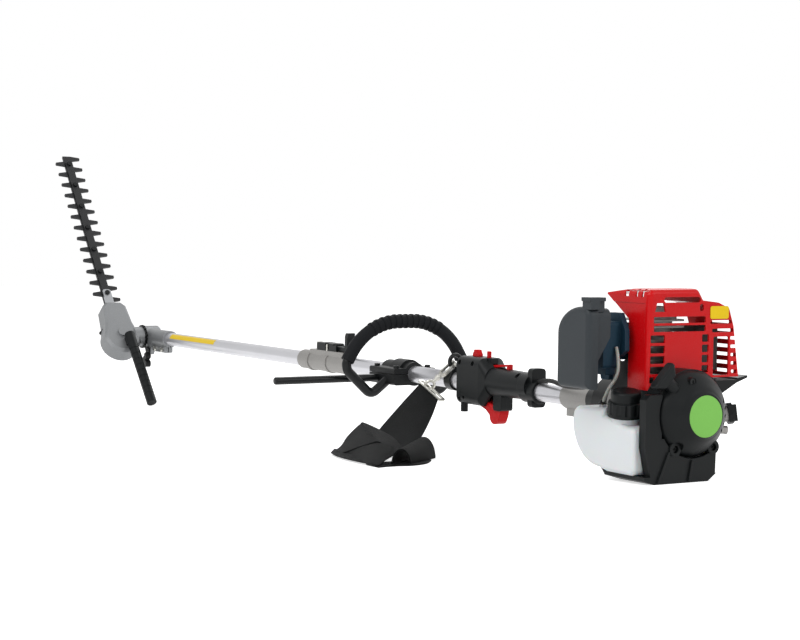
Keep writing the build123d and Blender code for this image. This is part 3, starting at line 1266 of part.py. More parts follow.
with BuildPart() as fuel_cap:
    barrel(CAP_PLANE.offset(CAP_BOTTOM), CAP_R, CAP_SKIRT)
    fillet(fuel_cap.faces().sort_by(Axis(CAP_AT, CAP_AXIS))[-1].edges(), 2)
    barrel(CAP_PLANE.offset(CAP_BOTTOM + CAP_SKIRT - 1), CAP_CROWN_R, CAP_HEIGHT - CAP_SKIRT + 1)
    fillet(fuel_cap.faces().sort_by(Axis(CAP_AT, CAP_AXIS))[-1].edges(), 4)
    with BuildSketch(CAP_PLANE.offset(CAP_BOTTOM + 4)) as scallops:
        with PolarLocations(CAP_R + 3.4, 12):
            Circle(4.8)
    extrude(scallops.sketch, amount=CAP_SKIRT, mode=Mode.SUBTRACT)
    drill(CAP_PLANE.offset(CAP_BOTTOM - 1), NECK_OUTER + CLEAR, NECK_TOP - CAP_BOTTOM + 1 + SLIDE)
save(fuel_cap, "fuel_cap")

with BuildPart() as fuel_line:
    cord([(89.7, 73, 82), (83, 73, 62), (88, 73, 42), (108, 73, 24), (117, 72, 7.2)], 2.2)
save(fuel_line, "fuel_line")

with BuildPart() as throttle_cable:
    cord(
        [(349.7, 5, 15.2), (312, 15, 22), (262, 28, 17), (215, 42, 19), (168, 60, 24), (145, 70, 30), (130, 79, 53.3)],
        3.2,
    )
save(throttle_cable, "throttle_cable")

GUARD_LEFT = 78.0
GUARD_RIGHT = -42.0
GUARD_FOOT = -AXIS_HEIGHT - 10.4
SOLE = [
    (GUARD_X, GUARD_FOOT),
    (92, GUARD_FOOT),
    (104, GUARD_TOP - 3),
    (BELLY[0] + 2, BELLY[1] - 1.4),
    (BELLY[0], BELLY[1] - 0.4),
    (BELLY[0] - 16, GUARD_TOP),
    (GUARD_X, GUARD_TOP),
]
COLUMN = [(52, GUARD_TOP - 4), (68, GUARD_TOP - 4), (77.5, -40), (77.5, 20), (71, 26), (52, 26)]
with BuildPart() as tank_guard:
    plate(across(GUARD_LEFT), SOLE, GUARD_LEFT - GUARD_RIGHT)
    flank = [(60, GUARD_TOP - 4), (60, -30), (GUARD_RIGHT - 4, -22), (GUARD_RIGHT, -34), (-37, -50), (-36, GUARD_TOP - 4)]
    plate(along(GUARD_X), flank, 8)
    plate(along(GUARD_X), COLUMN, 13)
    drill(along(GUARD_X - 5), FAN_R + CLEAR, 60)
    left_bevel = [(50, GUARD_FOOT + 6), (GUARD_LEFT + 2, GUARD_FOOT + 15), (GUARD_LEFT + 2, GUARD_FOOT - 4), (50, GUARD_FOOT - 4)]
    plate(along(10), left_bevel, 130, mode=Mode.SUBTRACT)
    right_bevel = [(-22, GUARD_FOOT + 8), (-44, GUARD_FOOT + 24), (-50, GUARD_FOOT - 4), (-22, GUARD_FOOT - 4)]
    plate(along(10), right_bevel, 130, mode=Mode.SUBTRACT)
    for y, z in EARS:
        barrel(along(20) * Pos(y, z), EAR_R, FAN_X0 - 20 - SLIDE)
        drill(along(10) * Pos(y, z), 2.5, 40)
        drill(along(10) * Pos(y, z), 4.8, 16)
    for top_y, top_z, foot_y in ((1, -58, 6), (39, -46, 56)):
        rib = [(top_y, top_z), (top_y + 3.5, top_z), (foot_y + 3.5, GUARD_TOP - 8), (foot_y, GUARD_TOP - 8)]
        plate(along(GUARD_X - 2.5), rib, 5)
    split(bisect_by=GROUND, keep=Keep.TOP)
save(tank_guard, "tank_guard")

with BuildPart() as case_screws:
    for x, z, head_y in HANDLE_SCREWS:
        barrel(across(-16) * Pos(x, z), 2, -16 - head_y)
        barrel(across(head_y) * Pos(x, z), 3.5, 3)
        block(across(head_y + 0.1) * Pos(x, z), -2.5, 2.5, -0.5, 0.5, 1.6, mode=Mode.SUBTRACT)
    barrel(across(21) * Pos(*TRIGGER_PIVOT), 2.4, 42)
    for head_x, (y, z), shank in ((23.5, EARS[0], 29.6), (23.5, EARS[1], 29.6), (TOP_BOSS_X + 1, TOP_BOSS, TOP_SCREW - 3.5)):
        barrel(along(head_x + 2.4) * Pos(y, z), 2.4, shank)
        barrel(along(head_x) * Pos(y, z), 4.2, 2.4)
        with BuildSketch(along(head_x - 0.5) * Pos(y, z)) as key:
            RegularPolygon(2, 6)
        extrude(key.sketch, amount=2, mode=Mode.SUBTRACT)
save(case_screws, "case_screws")
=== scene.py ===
"""Pole hedge trimmer: finishes, trim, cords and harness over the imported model."""

import logging
import math
from dataclasses import dataclass, field
from enum import Enum

import bmesh
import bpy
from mathutils import Matrix, Vector

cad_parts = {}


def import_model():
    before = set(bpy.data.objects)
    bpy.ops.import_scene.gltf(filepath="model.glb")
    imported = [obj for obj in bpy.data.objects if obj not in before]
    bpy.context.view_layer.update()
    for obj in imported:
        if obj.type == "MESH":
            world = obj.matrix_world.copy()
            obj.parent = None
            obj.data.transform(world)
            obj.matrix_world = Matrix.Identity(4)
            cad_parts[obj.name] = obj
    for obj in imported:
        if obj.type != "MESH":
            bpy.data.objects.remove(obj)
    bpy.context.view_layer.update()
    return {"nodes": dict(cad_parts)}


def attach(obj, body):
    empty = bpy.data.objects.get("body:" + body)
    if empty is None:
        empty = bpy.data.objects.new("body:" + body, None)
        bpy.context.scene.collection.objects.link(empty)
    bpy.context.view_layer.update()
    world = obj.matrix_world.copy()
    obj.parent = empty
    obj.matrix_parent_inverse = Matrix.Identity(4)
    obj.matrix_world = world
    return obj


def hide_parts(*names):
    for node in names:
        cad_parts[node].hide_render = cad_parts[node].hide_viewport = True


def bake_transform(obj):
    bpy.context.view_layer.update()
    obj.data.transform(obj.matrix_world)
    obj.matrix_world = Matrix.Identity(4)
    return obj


LOG = logging.getLogger("pole_trimmer")
MM = 0.001

# How far roughness rises in the hollows of the grain and falls on its tops
ROUGH_RISE = 0.09
ROUGH_FALL = 0.06
# The slow noise that colour and the worn, painted-highlight edges follow, in features per metre
WANDER_SCALE = 14.0
# How deep light goes into milky plastic, in metres
SCATTER_DEPTH = 0.006
# How much darker than the colour's own wandering the hollows of the grain are
HOLLOW_SHADE = 1.6
# Cosines between face and rounded edge where the edge brightening, partly wear and partly painted highlight,
# begins and where it is full
EDGE_WEAR_AND_HIGHLIGHT_BEGINS = 0.985
EDGE_WEAR_AND_HIGHLIGHT_FULL = 0.8
# A worn edge's colour, which is also a painted highlight: the finish's own, brighter by a factor and a lift
WORN_AND_HIGHLIT_GAIN = 1.7
WORN_AND_HIGHLIT_LIFT = 0.03


# ---------------------------------------------------------------- colour and nodes


def linear(hex_colour: str) -> tuple[float, float, float, float]:
    """Turn an sRGB hex colour into linear RGBA.

    Args:
        hex_colour: six hex digits, such as "db1c1e".

    Returns:
        The colour in linear light, with alpha 1.
    """
    channels = [int(hex_colour[at : at + 2], 16) / 255 for at in (0, 2, 4)]
    return (*[c / 12.92 if c <= 0.04045 else ((c + 0.055) / 1.055) ** 2.4 for c in channels], 1.0)


def add_node(tree: bpy.types.NodeTree, kind: str, inputs: dict | None = None, **settings) -> bpy.types.Node:
    """Add a shader node, set its properties and fill its inputs.

    Args:
        tree: the material's node tree.
        kind: the node's bl_idname.
        inputs: input socket name or index to the output socket that feeds it, or to its value.
        settings: the node's own properties.

    Returns:
        The new node.
    """
    node = tree.nodes.new(kind)
    for name, value in settings.items():
        setattr(node, name, value)
    for name, source in (inputs or {}).items():
        if isinstance(source, bpy.types.NodeSocket):
            tree.links.new(source, node.inputs[name])
        else:
            node.inputs[name].default_value = source
    return node


def compute(tree: bpy.types.NodeTree, operation: str, *operands) -> bpy.types.NodeSocket:
    """Work something out in a Math node.

    Args:
        tree: the material's node tree.
        operation: the Math node's operation.
        operands: sockets or numbers, in the node's order.

    Returns:
        The node's value.
    """
    return add_node(tree, "ShaderNodeMath", dict(enumerate(operands)), operation=operation).outputs["Value"]


def mix(tree: bpy.types.NodeTree, factor: bpy.types.NodeSocket, first, second) -> bpy.types.NodeSocket:
    """Mix two colours.

    Args:
        tree: the material's node tree.
        factor: how much of the second there is.
        first: a colour, as a socket or an RGBA value.
        second: another.

    Returns:
        The mixed colour.
    """
    inputs = {"Fac": factor, "Color1": first, "Color2": second}
    return add_node(tree, "ShaderNodeMixRGB", inputs).outputs["Color"]


@dataclass(frozen=True)
class Making:
    """What a way of making leaves on a surface.

    stretch draws the grain out along the object, cells turns it into pits, blotch is how
    much the colour wanders, edge how much the rounded edges are brightened, partly as wear and
    partly as a painted highlight, and soften the radius in millimetres by which edges look rounded.
    """

    stretch: tuple[float, float, float] = (1.0, 1.0, 1.0)
    cells: bool = False
    blotch: float = 0.12
    edge: float = 0.0
    soften: float = 0.5


class Surface(Enum):
    """How a surface was made, which sets its pattern."""

    MOULDED = Making(edge=0.3, soften=0.7)
    CAST = Making(cells=True, blotch=0.2, edge=0.35, soften=0.8)
    GROUND = Making(stretch=(0.05, 1.0, 1.0), blotch=0.24, edge=0.8, soften=0.25)
    POLISHED = Making(stretch=(0.03, 1.0, 1.0), blotch=0.08, edge=0.2, soften=0.3)
    FOAM = Making(cells=True, blotch=0.16, soften=0.4)
    BRAIDED = Making(blotch=0.3, soften=0.2)
    WOVEN = Making(blotch=0.3, soften=0.2)
    TRANSLUCENT = Making(stretch=(0.6, 0.6, 3.0), blotch=0.05, soften=1.5)
    EXTRUDED = Making(stretch=(0.2, 1.0, 1.0), blotch=0.1, soften=0.3)


@dataclass(frozen=True)
class Finish:
    """One finish: a material, how its surface was made, and its colours.

    grain_mm is the size of the pattern's features and depth the strength of its relief.
    Where paint is given, the finish has that colour before paint_to metres along the object.
    """

    name: str
    colour: str
    surface: Surface
    roughness: float
    metallic: float = 0.0
    grain_mm: float = 1.0
    depth: float = 0.1
    coat: float = 0.0
    gloss: float = 0.5
    sheen: float = 0.0
    scatter: float = 0.0
    paint: str = ""
    paint_to: float = 0.0

    def material(self) -> bpy.types.Material:
        """Return this finish's material, made on first use.

        Returns:
            A node material that reads Object coordinates, or the webbing's own UV.
        """
        found = bpy.data.materials.get(self.name)
        if found:
            return found
        made = bpy.data.materials.new(self.name)
        made.use_nodes = True
        tree = made.node_tree
        shader = tree.nodes["Principled BSDF"]
        making = self.surface.value
        for socket, value in (
            ("Metallic", self.metallic),
            ("Coat Weight", self.coat),
            ("Specular IOR Level", self.gloss),
            ("Sheen Weight", self.sheen),
            ("Subsurface Weight", self.scatter),
            ("Subsurface Scale", SCATTER_DEPTH),
        ):
            shader.inputs[socket].default_value = value
        place = add_node(tree, "ShaderNodeTexCoord").outputs["Object"]
        relief = self.weave(tree) if self.surface is Surface.WOVEN else self.grain(tree, place)
        soft = add_node(tree, "ShaderNodeBevel", {"Radius": making.soften * MM}, samples=4).outputs["Normal"]
        slow = {"Vector": place, "Scale": WANDER_SCALE, "Detail": 5.0}
        wander = add_node(tree, "ShaderNodeTexNoise", slow).outputs["Fac"]
        tree.links.new(self.tone(tree, place, wander, relief, soft), shader.inputs["Base Color"])
        rough = add_node(
            tree,
            "ShaderNodeMapRange",
            {
                "Value": compute(tree, "MULTIPLY", relief, wander),
                "From Max": 0.6,
                "To Min": min(1.0, self.roughness + ROUGH_RISE),
                "To Max": max(0.02, self.roughness - ROUGH_FALL),
            },
        )
        tree.links.new(rough.outputs["Result"], shader.inputs["Roughness"])
        bump = add_node(
            tree,
            "ShaderNodeBump",
            {"Height": relief, "Normal": soft, "Strength": self.depth, "Distance": self.grain_mm * MM * 0.4},
        )
        tree.links.new(bump.outputs["Normal"], shader.inputs["Normal"])
        return made

    def grain(self, tree: bpy.types.NodeTree, place: bpy.types.NodeSocket) -> bpy.types.NodeSocket:
        """Return the height of the surface's grain: pits for castings and foam, else streaks or grains.

        Args:
            tree: the material's node tree.
            place: the coordinates.

        Returns:
            The height, from 0 to 1.
        """
        making = self.surface.value
        stretched = {"Vector": place, "Scale": making.stretch}
        spread = add_node(tree, "ShaderNodeMapping", stretched).outputs["Vector"]
        scale = 1 / (self.grain_mm * MM)
        grains = {"Vector": spread, "Scale": scale, "Detail": 4.0, "Roughness": 0.6}
        fine = add_node(tree, "ShaderNodeTexNoise", grains).outputs["Fac"]
        if self.surface is Surface.BRAIDED:
            bands = {"Vector": spread, "Scale": scale * 0.3}
            strands = add_node(tree, "ShaderNodeTexWave", bands, bands_direction="DIAGONAL").outputs["Fac"]
            return compute(tree, "MULTIPLY", strands, fine)
        if not making.cells:
            return fine
        cells = {"Vector": spread, "Scale": scale * 0.8}
        pits = add_node(tree, "ShaderNodeTexVoronoi", cells).outputs["Distance"]
        return compute(tree, "MULTIPLY", pits, fine)

    def weave(self, tree: bpy.types.NodeTree) -> bpy.types.NodeSocket:
        """Return the height of a plain weave that follows the webbing's own UV, laid out in metres."""
        lay = add_node(tree, "ShaderNodeUVMap").outputs["UV"]
        axes = add_node(tree, "ShaderNodeSeparateXYZ", {"Vector": lay}).outputs
        turns = math.tau / (self.grain_mm * MM)
        waves = [compute(tree, "SINE", compute(tree, "MULTIPLY", axes[axis], turns)) for axis in ("X", "Y")]
        return compute(tree, "MULTIPLY_ADD", compute(tree, "MULTIPLY", *waves), 0.5, 0.5)

    def tone(
        self,
        tree: bpy.types.NodeTree,
        place: bpy.types.NodeSocket,
        wander: bpy.types.NodeSocket,
        relief: bpy.types.NodeSocket,
        soft: bpy.types.NodeSocket,
    ) -> bpy.types.NodeSocket:
        """Return the colour, which wanders over the surface, darkens in the grain and is brightened along
        edges, partly as worn edges are and partly as a painted highlight.

        Args:
            tree: the material's node tree.
            place: the coordinates.
            wander: the slow noise.
            relief: the grain's height.
            soft: the normal with its edges rounded.

        Returns:
            The colour.
        """
        making = self.surface.value
        shades = [linear(self.colour)] + ([linear(self.paint)] if self.paint else [])
        tones = []
        for base in shades:
            dark = (*[c * (1 - making.blotch) for c in base[:3]], 1.0)
            light = (*[min(1.0, c * (1 + making.blotch)) for c in base[:3]], 1.0)
            pitted = (*[c * (1 - HOLLOW_SHADE * making.blotch) for c in base[:3]], 1.0)
            tones.append(mix(tree, relief, pitted, mix(tree, wander, dark, light)))
        colour = tones[0]
        if self.paint:
            along = add_node(tree, "ShaderNodeSeparateXYZ", {"Vector": place}).outputs["X"]
            colour = mix(tree, compute(tree, "LESS_THAN", along, self.paint_to), *tones)
        # Rounded edges are brightened: partly wear, partly a painted highlight.
        face = add_node(tree, "ShaderNodeNewGeometry").outputs["Normal"]
        level = add_node(tree, "ShaderNodeVectorMath", {0: soft, 1: face}, operation="DOT_PRODUCT")
        edge_wear_and_highlight = {
            "Value": level.outputs["Value"],
            "From Min": EDGE_WEAR_AND_HIGHLIGHT_BEGINS,
            "From Max": EDGE_WEAR_AND_HIGHLIGHT_FULL,
            "To Max": making.edge,
        }
        rim = add_node(tree, "ShaderNodeMapRange", edge_wear_and_highlight).outputs["Result"]
        worn_and_highlit_colour = (*[min(1.0, c * WORN_AND_HIGHLIT_GAIN + WORN_AND_HIGHLIT_LIFT) for c in shades[0][:3]], 1.0)
        return mix(tree, compute(tree, "MULTIPLY", rim, wander), colour, worn_and_highlit_colour)


# drawn tube, bright with a soft broad highlight
ANODISED = Finish(
    "anodised_aluminium", "c9c9cd", Surface.POLISHED,
    roughness=0.3, metallic=0.85, grain_mm=0.35, depth=0.04,
)
# die-cast and bead blasted: pale, with a grainy skin
DIE_CAST = Finish(
    "die_cast_aluminium", "a8a6a3", Surface.CAST,
    roughness=0.5, metallic=0.75, grain_mm=0.7, depth=0.35,
)
# the cutter's castings are lacquered silver
GEAR_CAST = Finish(
    "lacquered_die_cast", "97999b", Surface.CAST,
    roughness=0.42, metallic=0.6, grain_mm=0.7, depth=0.3,
)
# castings with a black powder coat: a fine orange peel
BLACK_CAST = Finish(
    "powder_coated_casting", "151718", Surface.CAST,
    roughness=0.42, metallic=0.1, grain_mm=0.6, depth=0.25, coat=0.03, gloss=0.2,
)
# hardened blades, chemically blackened: a dull sheen along the grinding
BLACK_BLADE = Finish(
    "blackened_blade_steel", "17181a", Surface.GROUND,
    roughness=0.42, metallic=0.35, grain_mm=0.3, depth=0.2,
)
# bright steel with fine grinding marks along it
GROUND_STEEL = Finish(
    "ground_blade_steel", "b4b6b9", Surface.GROUND,
    roughness=0.3, metallic=0.95, grain_mm=0.3, depth=0.15,
)
# plated fittings: a warm, even shine
ZINC = Finish(
    "zinc_plated_steel", "c4c3bc", Surface.POLISHED,
    roughness=0.26, metallic=0.95, grain_mm=0.4, depth=0.08,
)
# bent tube with gloss black paint: sharp highlights on the bends
BLACK_TUBE = Finish(
    "black_painted_steel", "161819", Surface.POLISHED,
    roughness=0.28, metallic=0.1, grain_mm=0.5, depth=0.05, coat=0.06, gloss=0.2,
)
# the clutch case: its clamp is bare, and the fan case before it is painted black
CLUTCH_CAST = Finish(
    "half_painted_casting", "a8a6a3", Surface.CAST,
    roughness=0.46, metallic=0.35, grain_mm=0.7, depth=0.3, paint="1b1d1e", paint_to=0.14,
)
# shafts and gears with a film of oil, dark with a soft shine
DARK_STEEL = Finish(
    "oiled_dark_steel", "3a3b3d", Surface.POLISHED,
    roughness=0.38, metallic=0.7, grain_mm=0.5, depth=0.08,
)
# brown-grey and rough, as cast iron is near the heat
IRON = Finish(
    "sooted_cast_iron", "4a4846", Surface.CAST,
    roughness=0.7, metallic=0.5, grain_mm=0.9, depth=0.4,
)
# air cleaner: textured ABS, slate grey
GREY_ABS = Finish(
    "slate_moulded_abs", "31363a", Surface.MOULDED,
    roughness=0.46, grain_mm=0.45, depth=0.2, gloss=0.24,
)
# nylon with glass fibre: nearly black and cool, its rounded edges brightened as a painted highlight
BLACK_NYLON = Finish(
    "black_moulded_nylon", "131617", Surface.MOULDED,
    roughness=0.38, grain_mm=0.45, depth=0.22, gloss=0.16,
)
# the engine cover: a deep, even red with a tight highlight
RED_ABS = Finish(
    "red_gloss_abs", "d00b11", Surface.MOULDED,
    roughness=0.24, grain_mm=1.2, depth=0.03, coat=0.05, gloss=0.16,
)
# red glass-filled nylon of the controls, less glossy than the cover
RED_NYLON = Finish(
    "red_moulded_nylon", "cc0c13", Surface.MOULDED,
    roughness=0.38, grain_mm=0.6, depth=0.12, gloss=0.16,
)
# a small casting with a blue cast beside the red cover
CARBURETTOR_CAST = Finish(
    "blue_grey_zinc_casting", "1b3a4c", Surface.CAST,
    roughness=0.45, metallic=0.3, grain_mm=0.6, depth=0.25, gloss=0.25,
)
# blow-moulded polyethylene without colour: milky, light goes a little way in
TANK_PE = Finish(
    "natural_polyethylene", "e2e5e7", Surface.TRANSLUCENT,
    roughness=0.4, grain_mm=0.8, depth=0.06, scatter=0.25,
)
# soft black grip: small cells and hardly any shine
FOAM = Finish(
    "black_ribbed_rubber", "121417", Surface.FOAM,
    roughness=0.62, grain_mm=0.8, depth=0.4, gloss=0.16,
)
# cable sheath: black, drawn smooth along its length
RUBBER = Finish(
    "black_cable_sheath", "1b1c1c", Surface.EXTRUDED,
    roughness=0.5, grain_mm=0.5, depth=0.1, gloss=0.2,
)
# milky hose with a wet highlight
HOSE = Finish(
    "clear_fuel_hose", "a3a59e", Surface.EXTRUDED,
    roughness=0.2, grain_mm=0.5, depth=0.05, coat=0.4, scatter=0.3,
)
# polypropylene tape: nearly black, a plain weave with a little sheen
WEBBING = Finish(
    "black_polypropylene_webbing", "0d0f10", Surface.WOVEN,
    roughness=0.62, grain_mm=2.2, depth=0.8, gloss=0.1, sheen=0.012,
)
# pale cord whose strands show as slanting bands
ROPE = Finish(
    "braided_starter_cord", "c9c7bf", Surface.BRAIDED,
    roughness=0.8, grain_mm=0.8, depth=0.6,
)
# plain green film, flat and clean
GREEN_FILM = Finish(
    "green_vinyl_film", "83c95c", Surface.MOULDED,
    roughness=0.35, grain_mm=1.0, depth=0.02, gloss=0.2,
)
# plain yellow film, flat and clean
YELLOW_FILM = Finish(
    "yellow_vinyl_film", "f5cf12", Surface.MOULDED,
    roughness=0.35, grain_mm=1.0, depth=0.02, gloss=0.2,
)

NODE_FINISHES: dict[Finish, tuple[str, ...]] = {
    BLACK_BLADE: ("upper_blade", "lower_blade", "guide_bar"),
    GROUND_STEEL: ("support_bar",),
    ZINC: ("housing_screws", "coupler_posts", "snap_hook", "hook_gate", "strap_ring"),
    GEAR_CAST: ("gearcase_body", "gearcase_cover", "angle_housing"),
    DARK_STEEL: ("crank_gear", "cross_shaft", "lower_drive_shaft", "upper_drive_shaft"),
    BLACK_TUBE: (
        "loop_handle",
        "barrier_bar",
        "harness_ring",
        "head_screws",
        "bracket_screws",
        "index_plate",
        "case_screws",
    ),
    BLACK_CAST: ("bracket_upper", "bracket_lower", "lock_lever"),
    ANODISED: ("lower_tube", "upper_tube"),
    DIE_CAST: ("coupler_body", "engine_block"),
    CLUTCH_CAST: ("clutch_housing",),
    CARBURETTOR_CAST: ("carburettor",),
    IRON: ("flywheel", "muffler"),
    GREY_ABS: ("air_filter_case", "air_filter_cover"),
    BLACK_NYLON: (
        "head_handle",
        "latch_block",
        "latch_lever",
        "shaft_bushings",
        "handle_left",
        "handle_right",
        "rear_collar",
        "muffler_guard",
        "fuel_cap",
        "tank_guard",
        "starter_housing",
        "starter_grip",
        "oil_cap",
    ),
    RED_ABS: ("top_cover",),
    RED_NYLON: ("trigger", "lockout_lever", "stop_switch", "hold_button"),
    TANK_PE: ("fuel_tank",),
    FOAM: ("loop_grip",),
    WEBBING: ("harness_strap",),
    RUBBER: ("throttle_cable",),
    HOSE: ("fuel_line",),
    ROPE: ("starter_rope",),
}

# The pole's own frame, in millimetres, stands on the ground like this
POLE_TILT = math.radians(1.57)
AXIS_HEIGHT = 85.6
FOOT = (85.0, 6.0)


def at_rest(x: float, y: float, z: float) -> Vector:
    """Turn a place along the pole into metres in the resting frame.

    Args:
        x: millimetres along the pole from the starter.
        y: millimetres to the operator's left.
        z: millimetres up from the pole.

    Returns:
        The place in metres.
    """
    level, rise = math.cos(POLE_TILT), math.sin(POLE_TILT)
    return Vector((x * level - z * rise - FOOT[0], y - FOOT[1], x * rise + z * level + AXIS_HEIGHT)) * MM


def new_piece(
    name: str, bm: bmesh.types.BMesh, finish: Finish, body: str | None
) -> bpy.types.Object:
    """Make a piece from a finished bmesh, dress it and let it ride on a body.

    Args:
        name: the piece's name.
        bm: its shape in metres, freed here.
        finish: its finish.
        body: the body that it moves with, or None for a piece that rides on no body.

    Returns:
        The new object.
    """
    mesh = bpy.data.meshes.new(name)
    bm.to_mesh(mesh)
    bm.free()
    mesh.materials.append(finish.material())
    piece = bpy.data.objects.new(name, mesh)
    bpy.context.scene.collection.objects.link(piece)
    if body:
        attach(piece, body)
    LOG.info("made %s", name)
    return piece


# ---------------------------------------------------------------- cords


@dataclass(frozen=True)
class Line:
    """A hose or cable between two fittings, on one smooth route along the pole's frame."""

    name: str
    route: tuple[tuple[float, float, float], ...]
    diameter: float
    length: float
    finish: Finish
    slot: str
    stiffness: str = "medium"
    roundness: int = 5
    steps: int = 16

    def build(self) -> bpy.types.Object:
        """Returns:
            The curve object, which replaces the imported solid.
        """
        data = bpy.data.curves.new(self.name, "CURVE")
        data.dimensions = "3D"
        data.bevel_depth = self.diameter / 2 * MM
        data.bevel_resolution = self.roundness
        data.use_fill_caps = True
        spline = data.splines.new("NURBS")
        spline.points.add(len(self.route) - 1)
        for point, place in zip(spline.points, self.route):
            point.co = (*at_rest(*place), 1.0)
        spline.order_u = 3
        spline.use_endpoint_u = True
        spline.resolution_u = self.steps
        data.materials.append(self.finish.material())
        line = bpy.data.objects.new(f"{self.name}_run", data)
        bpy.context.scene.collection.objects.link(line)
        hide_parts(self.name)
        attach(line, "main")
        LOG.info("laid %s", self.name)
        return line


LINES = (
    Line(
        name="throttle_cable",
        route=(
            (349.7, 5, 15.2),
            (312, 15, 22),
            (262, 28, 17),
            (215, 42, 19),
            (168, 60, 24),
            (145, 70, 30),
            (130, 79, 53.3),
        ),
        diameter=6.4,
        length=0.244,
        finish=RUBBER,
        slot="cable_black",
    ),
    Line(
        name="fuel_line",
        route=((89.7, 73, 82), (83, 73, 62), (88, 73, 42), (108, 73, 24), (117, 72, 7.2)),
        diameter=4.4,
        length=0.086,
        finish=HOSE,
        slot="hose",
    ),
)


def grommet(name: str, at: tuple[float, float, float], bore: float, finish: Finish) -> None:
    """Turn the round rubber grommet that a line goes into.

    Args:
        name: the piece's name.
        at: the middle of its foot, in the pole's frame.
        bore: the radius of its hole in millimetres.
        finish: its finish.
    """
    # How far each point of the section stands out from the bore, and its height
    section = ((0, 0.2), (3.2, 0.2), (3.2, 1.6), (1.4, 2.4), (1.1, 5.2), (0, 5.8))
    bm = bmesh.new()
    ring = [bm.verts.new(((bore + out) * MM, 0, height * MM)) for out, height in section]
    edges = [bm.edges.new((a, b)) for a, b in zip(ring, ring[1:] + ring[:1])]
    bmesh.ops.spin(bm, geom=ring + edges, axis=(0, 0, 1), cent=(0, 0, 0), steps=40, angle=math.tau)
    bmesh.ops.remove_doubles(bm, verts=bm.verts, dist=0.01 * MM)
    bmesh.ops.recalc_face_normals(bm, faces=bm.faces)
    turn = Matrix.Rotation(-POLE_TILT, 4, "Y")
    bmesh.ops.transform(bm, matrix=Matrix.Translation(at_rest(*at)) @ turn, verts=bm.verts)
    new_piece(name, bm, finish, "main")


@dataclass
class StarterCord:
    """The cord behind the starter's grip, running up from its foot in the case."""

    foot: tuple[float, float, float] = (22.0, 28.16, 26.53)
    length: float = 31.0
    lean: float = 43.137
    radius: float = 1.8
    strands: int = 4

    def build(self) -> bpy.types.Object:
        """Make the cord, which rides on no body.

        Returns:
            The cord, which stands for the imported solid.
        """
        lean = math.radians(self.lean)
        along = Vector((0.0, math.cos(lean), math.sin(lean)))
        across = Vector((0.0, math.sin(lean), -math.cos(lean)))
        bm = bmesh.new()
        bmesh.ops.create_grid(bm, x_segments=60, y_segments=24, size=0.5)
        for vert in bm.verts:
            way, turn = vert.co.x + 0.5, (vert.co.y + 0.5) * math.tau
            reach = self.radius * (0.94 + 0.06 * math.cos(self.strands * turn + 2 * math.tau * way))
            off = Vector((math.cos(turn), 0, 0)) * reach + across * math.sin(turn) * reach
            vert.co = at_rest(*(Vector(self.foot) + along * self.length * way + off))
        bmesh.ops.remove_doubles(bm, verts=bm.verts, dist=0.01 * MM)
        bmesh.ops.holes_fill(bm, edges=[edge for edge in bm.edges if edge.is_boundary])
        bmesh.ops.recalc_face_normals(bm, faces=bm.faces)
        cord = new_piece("starter_cord", bm, ROPE, None)
        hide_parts("starter_rope")
        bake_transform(cord)
        return cord


# ---------------------------------------------------------------- harness


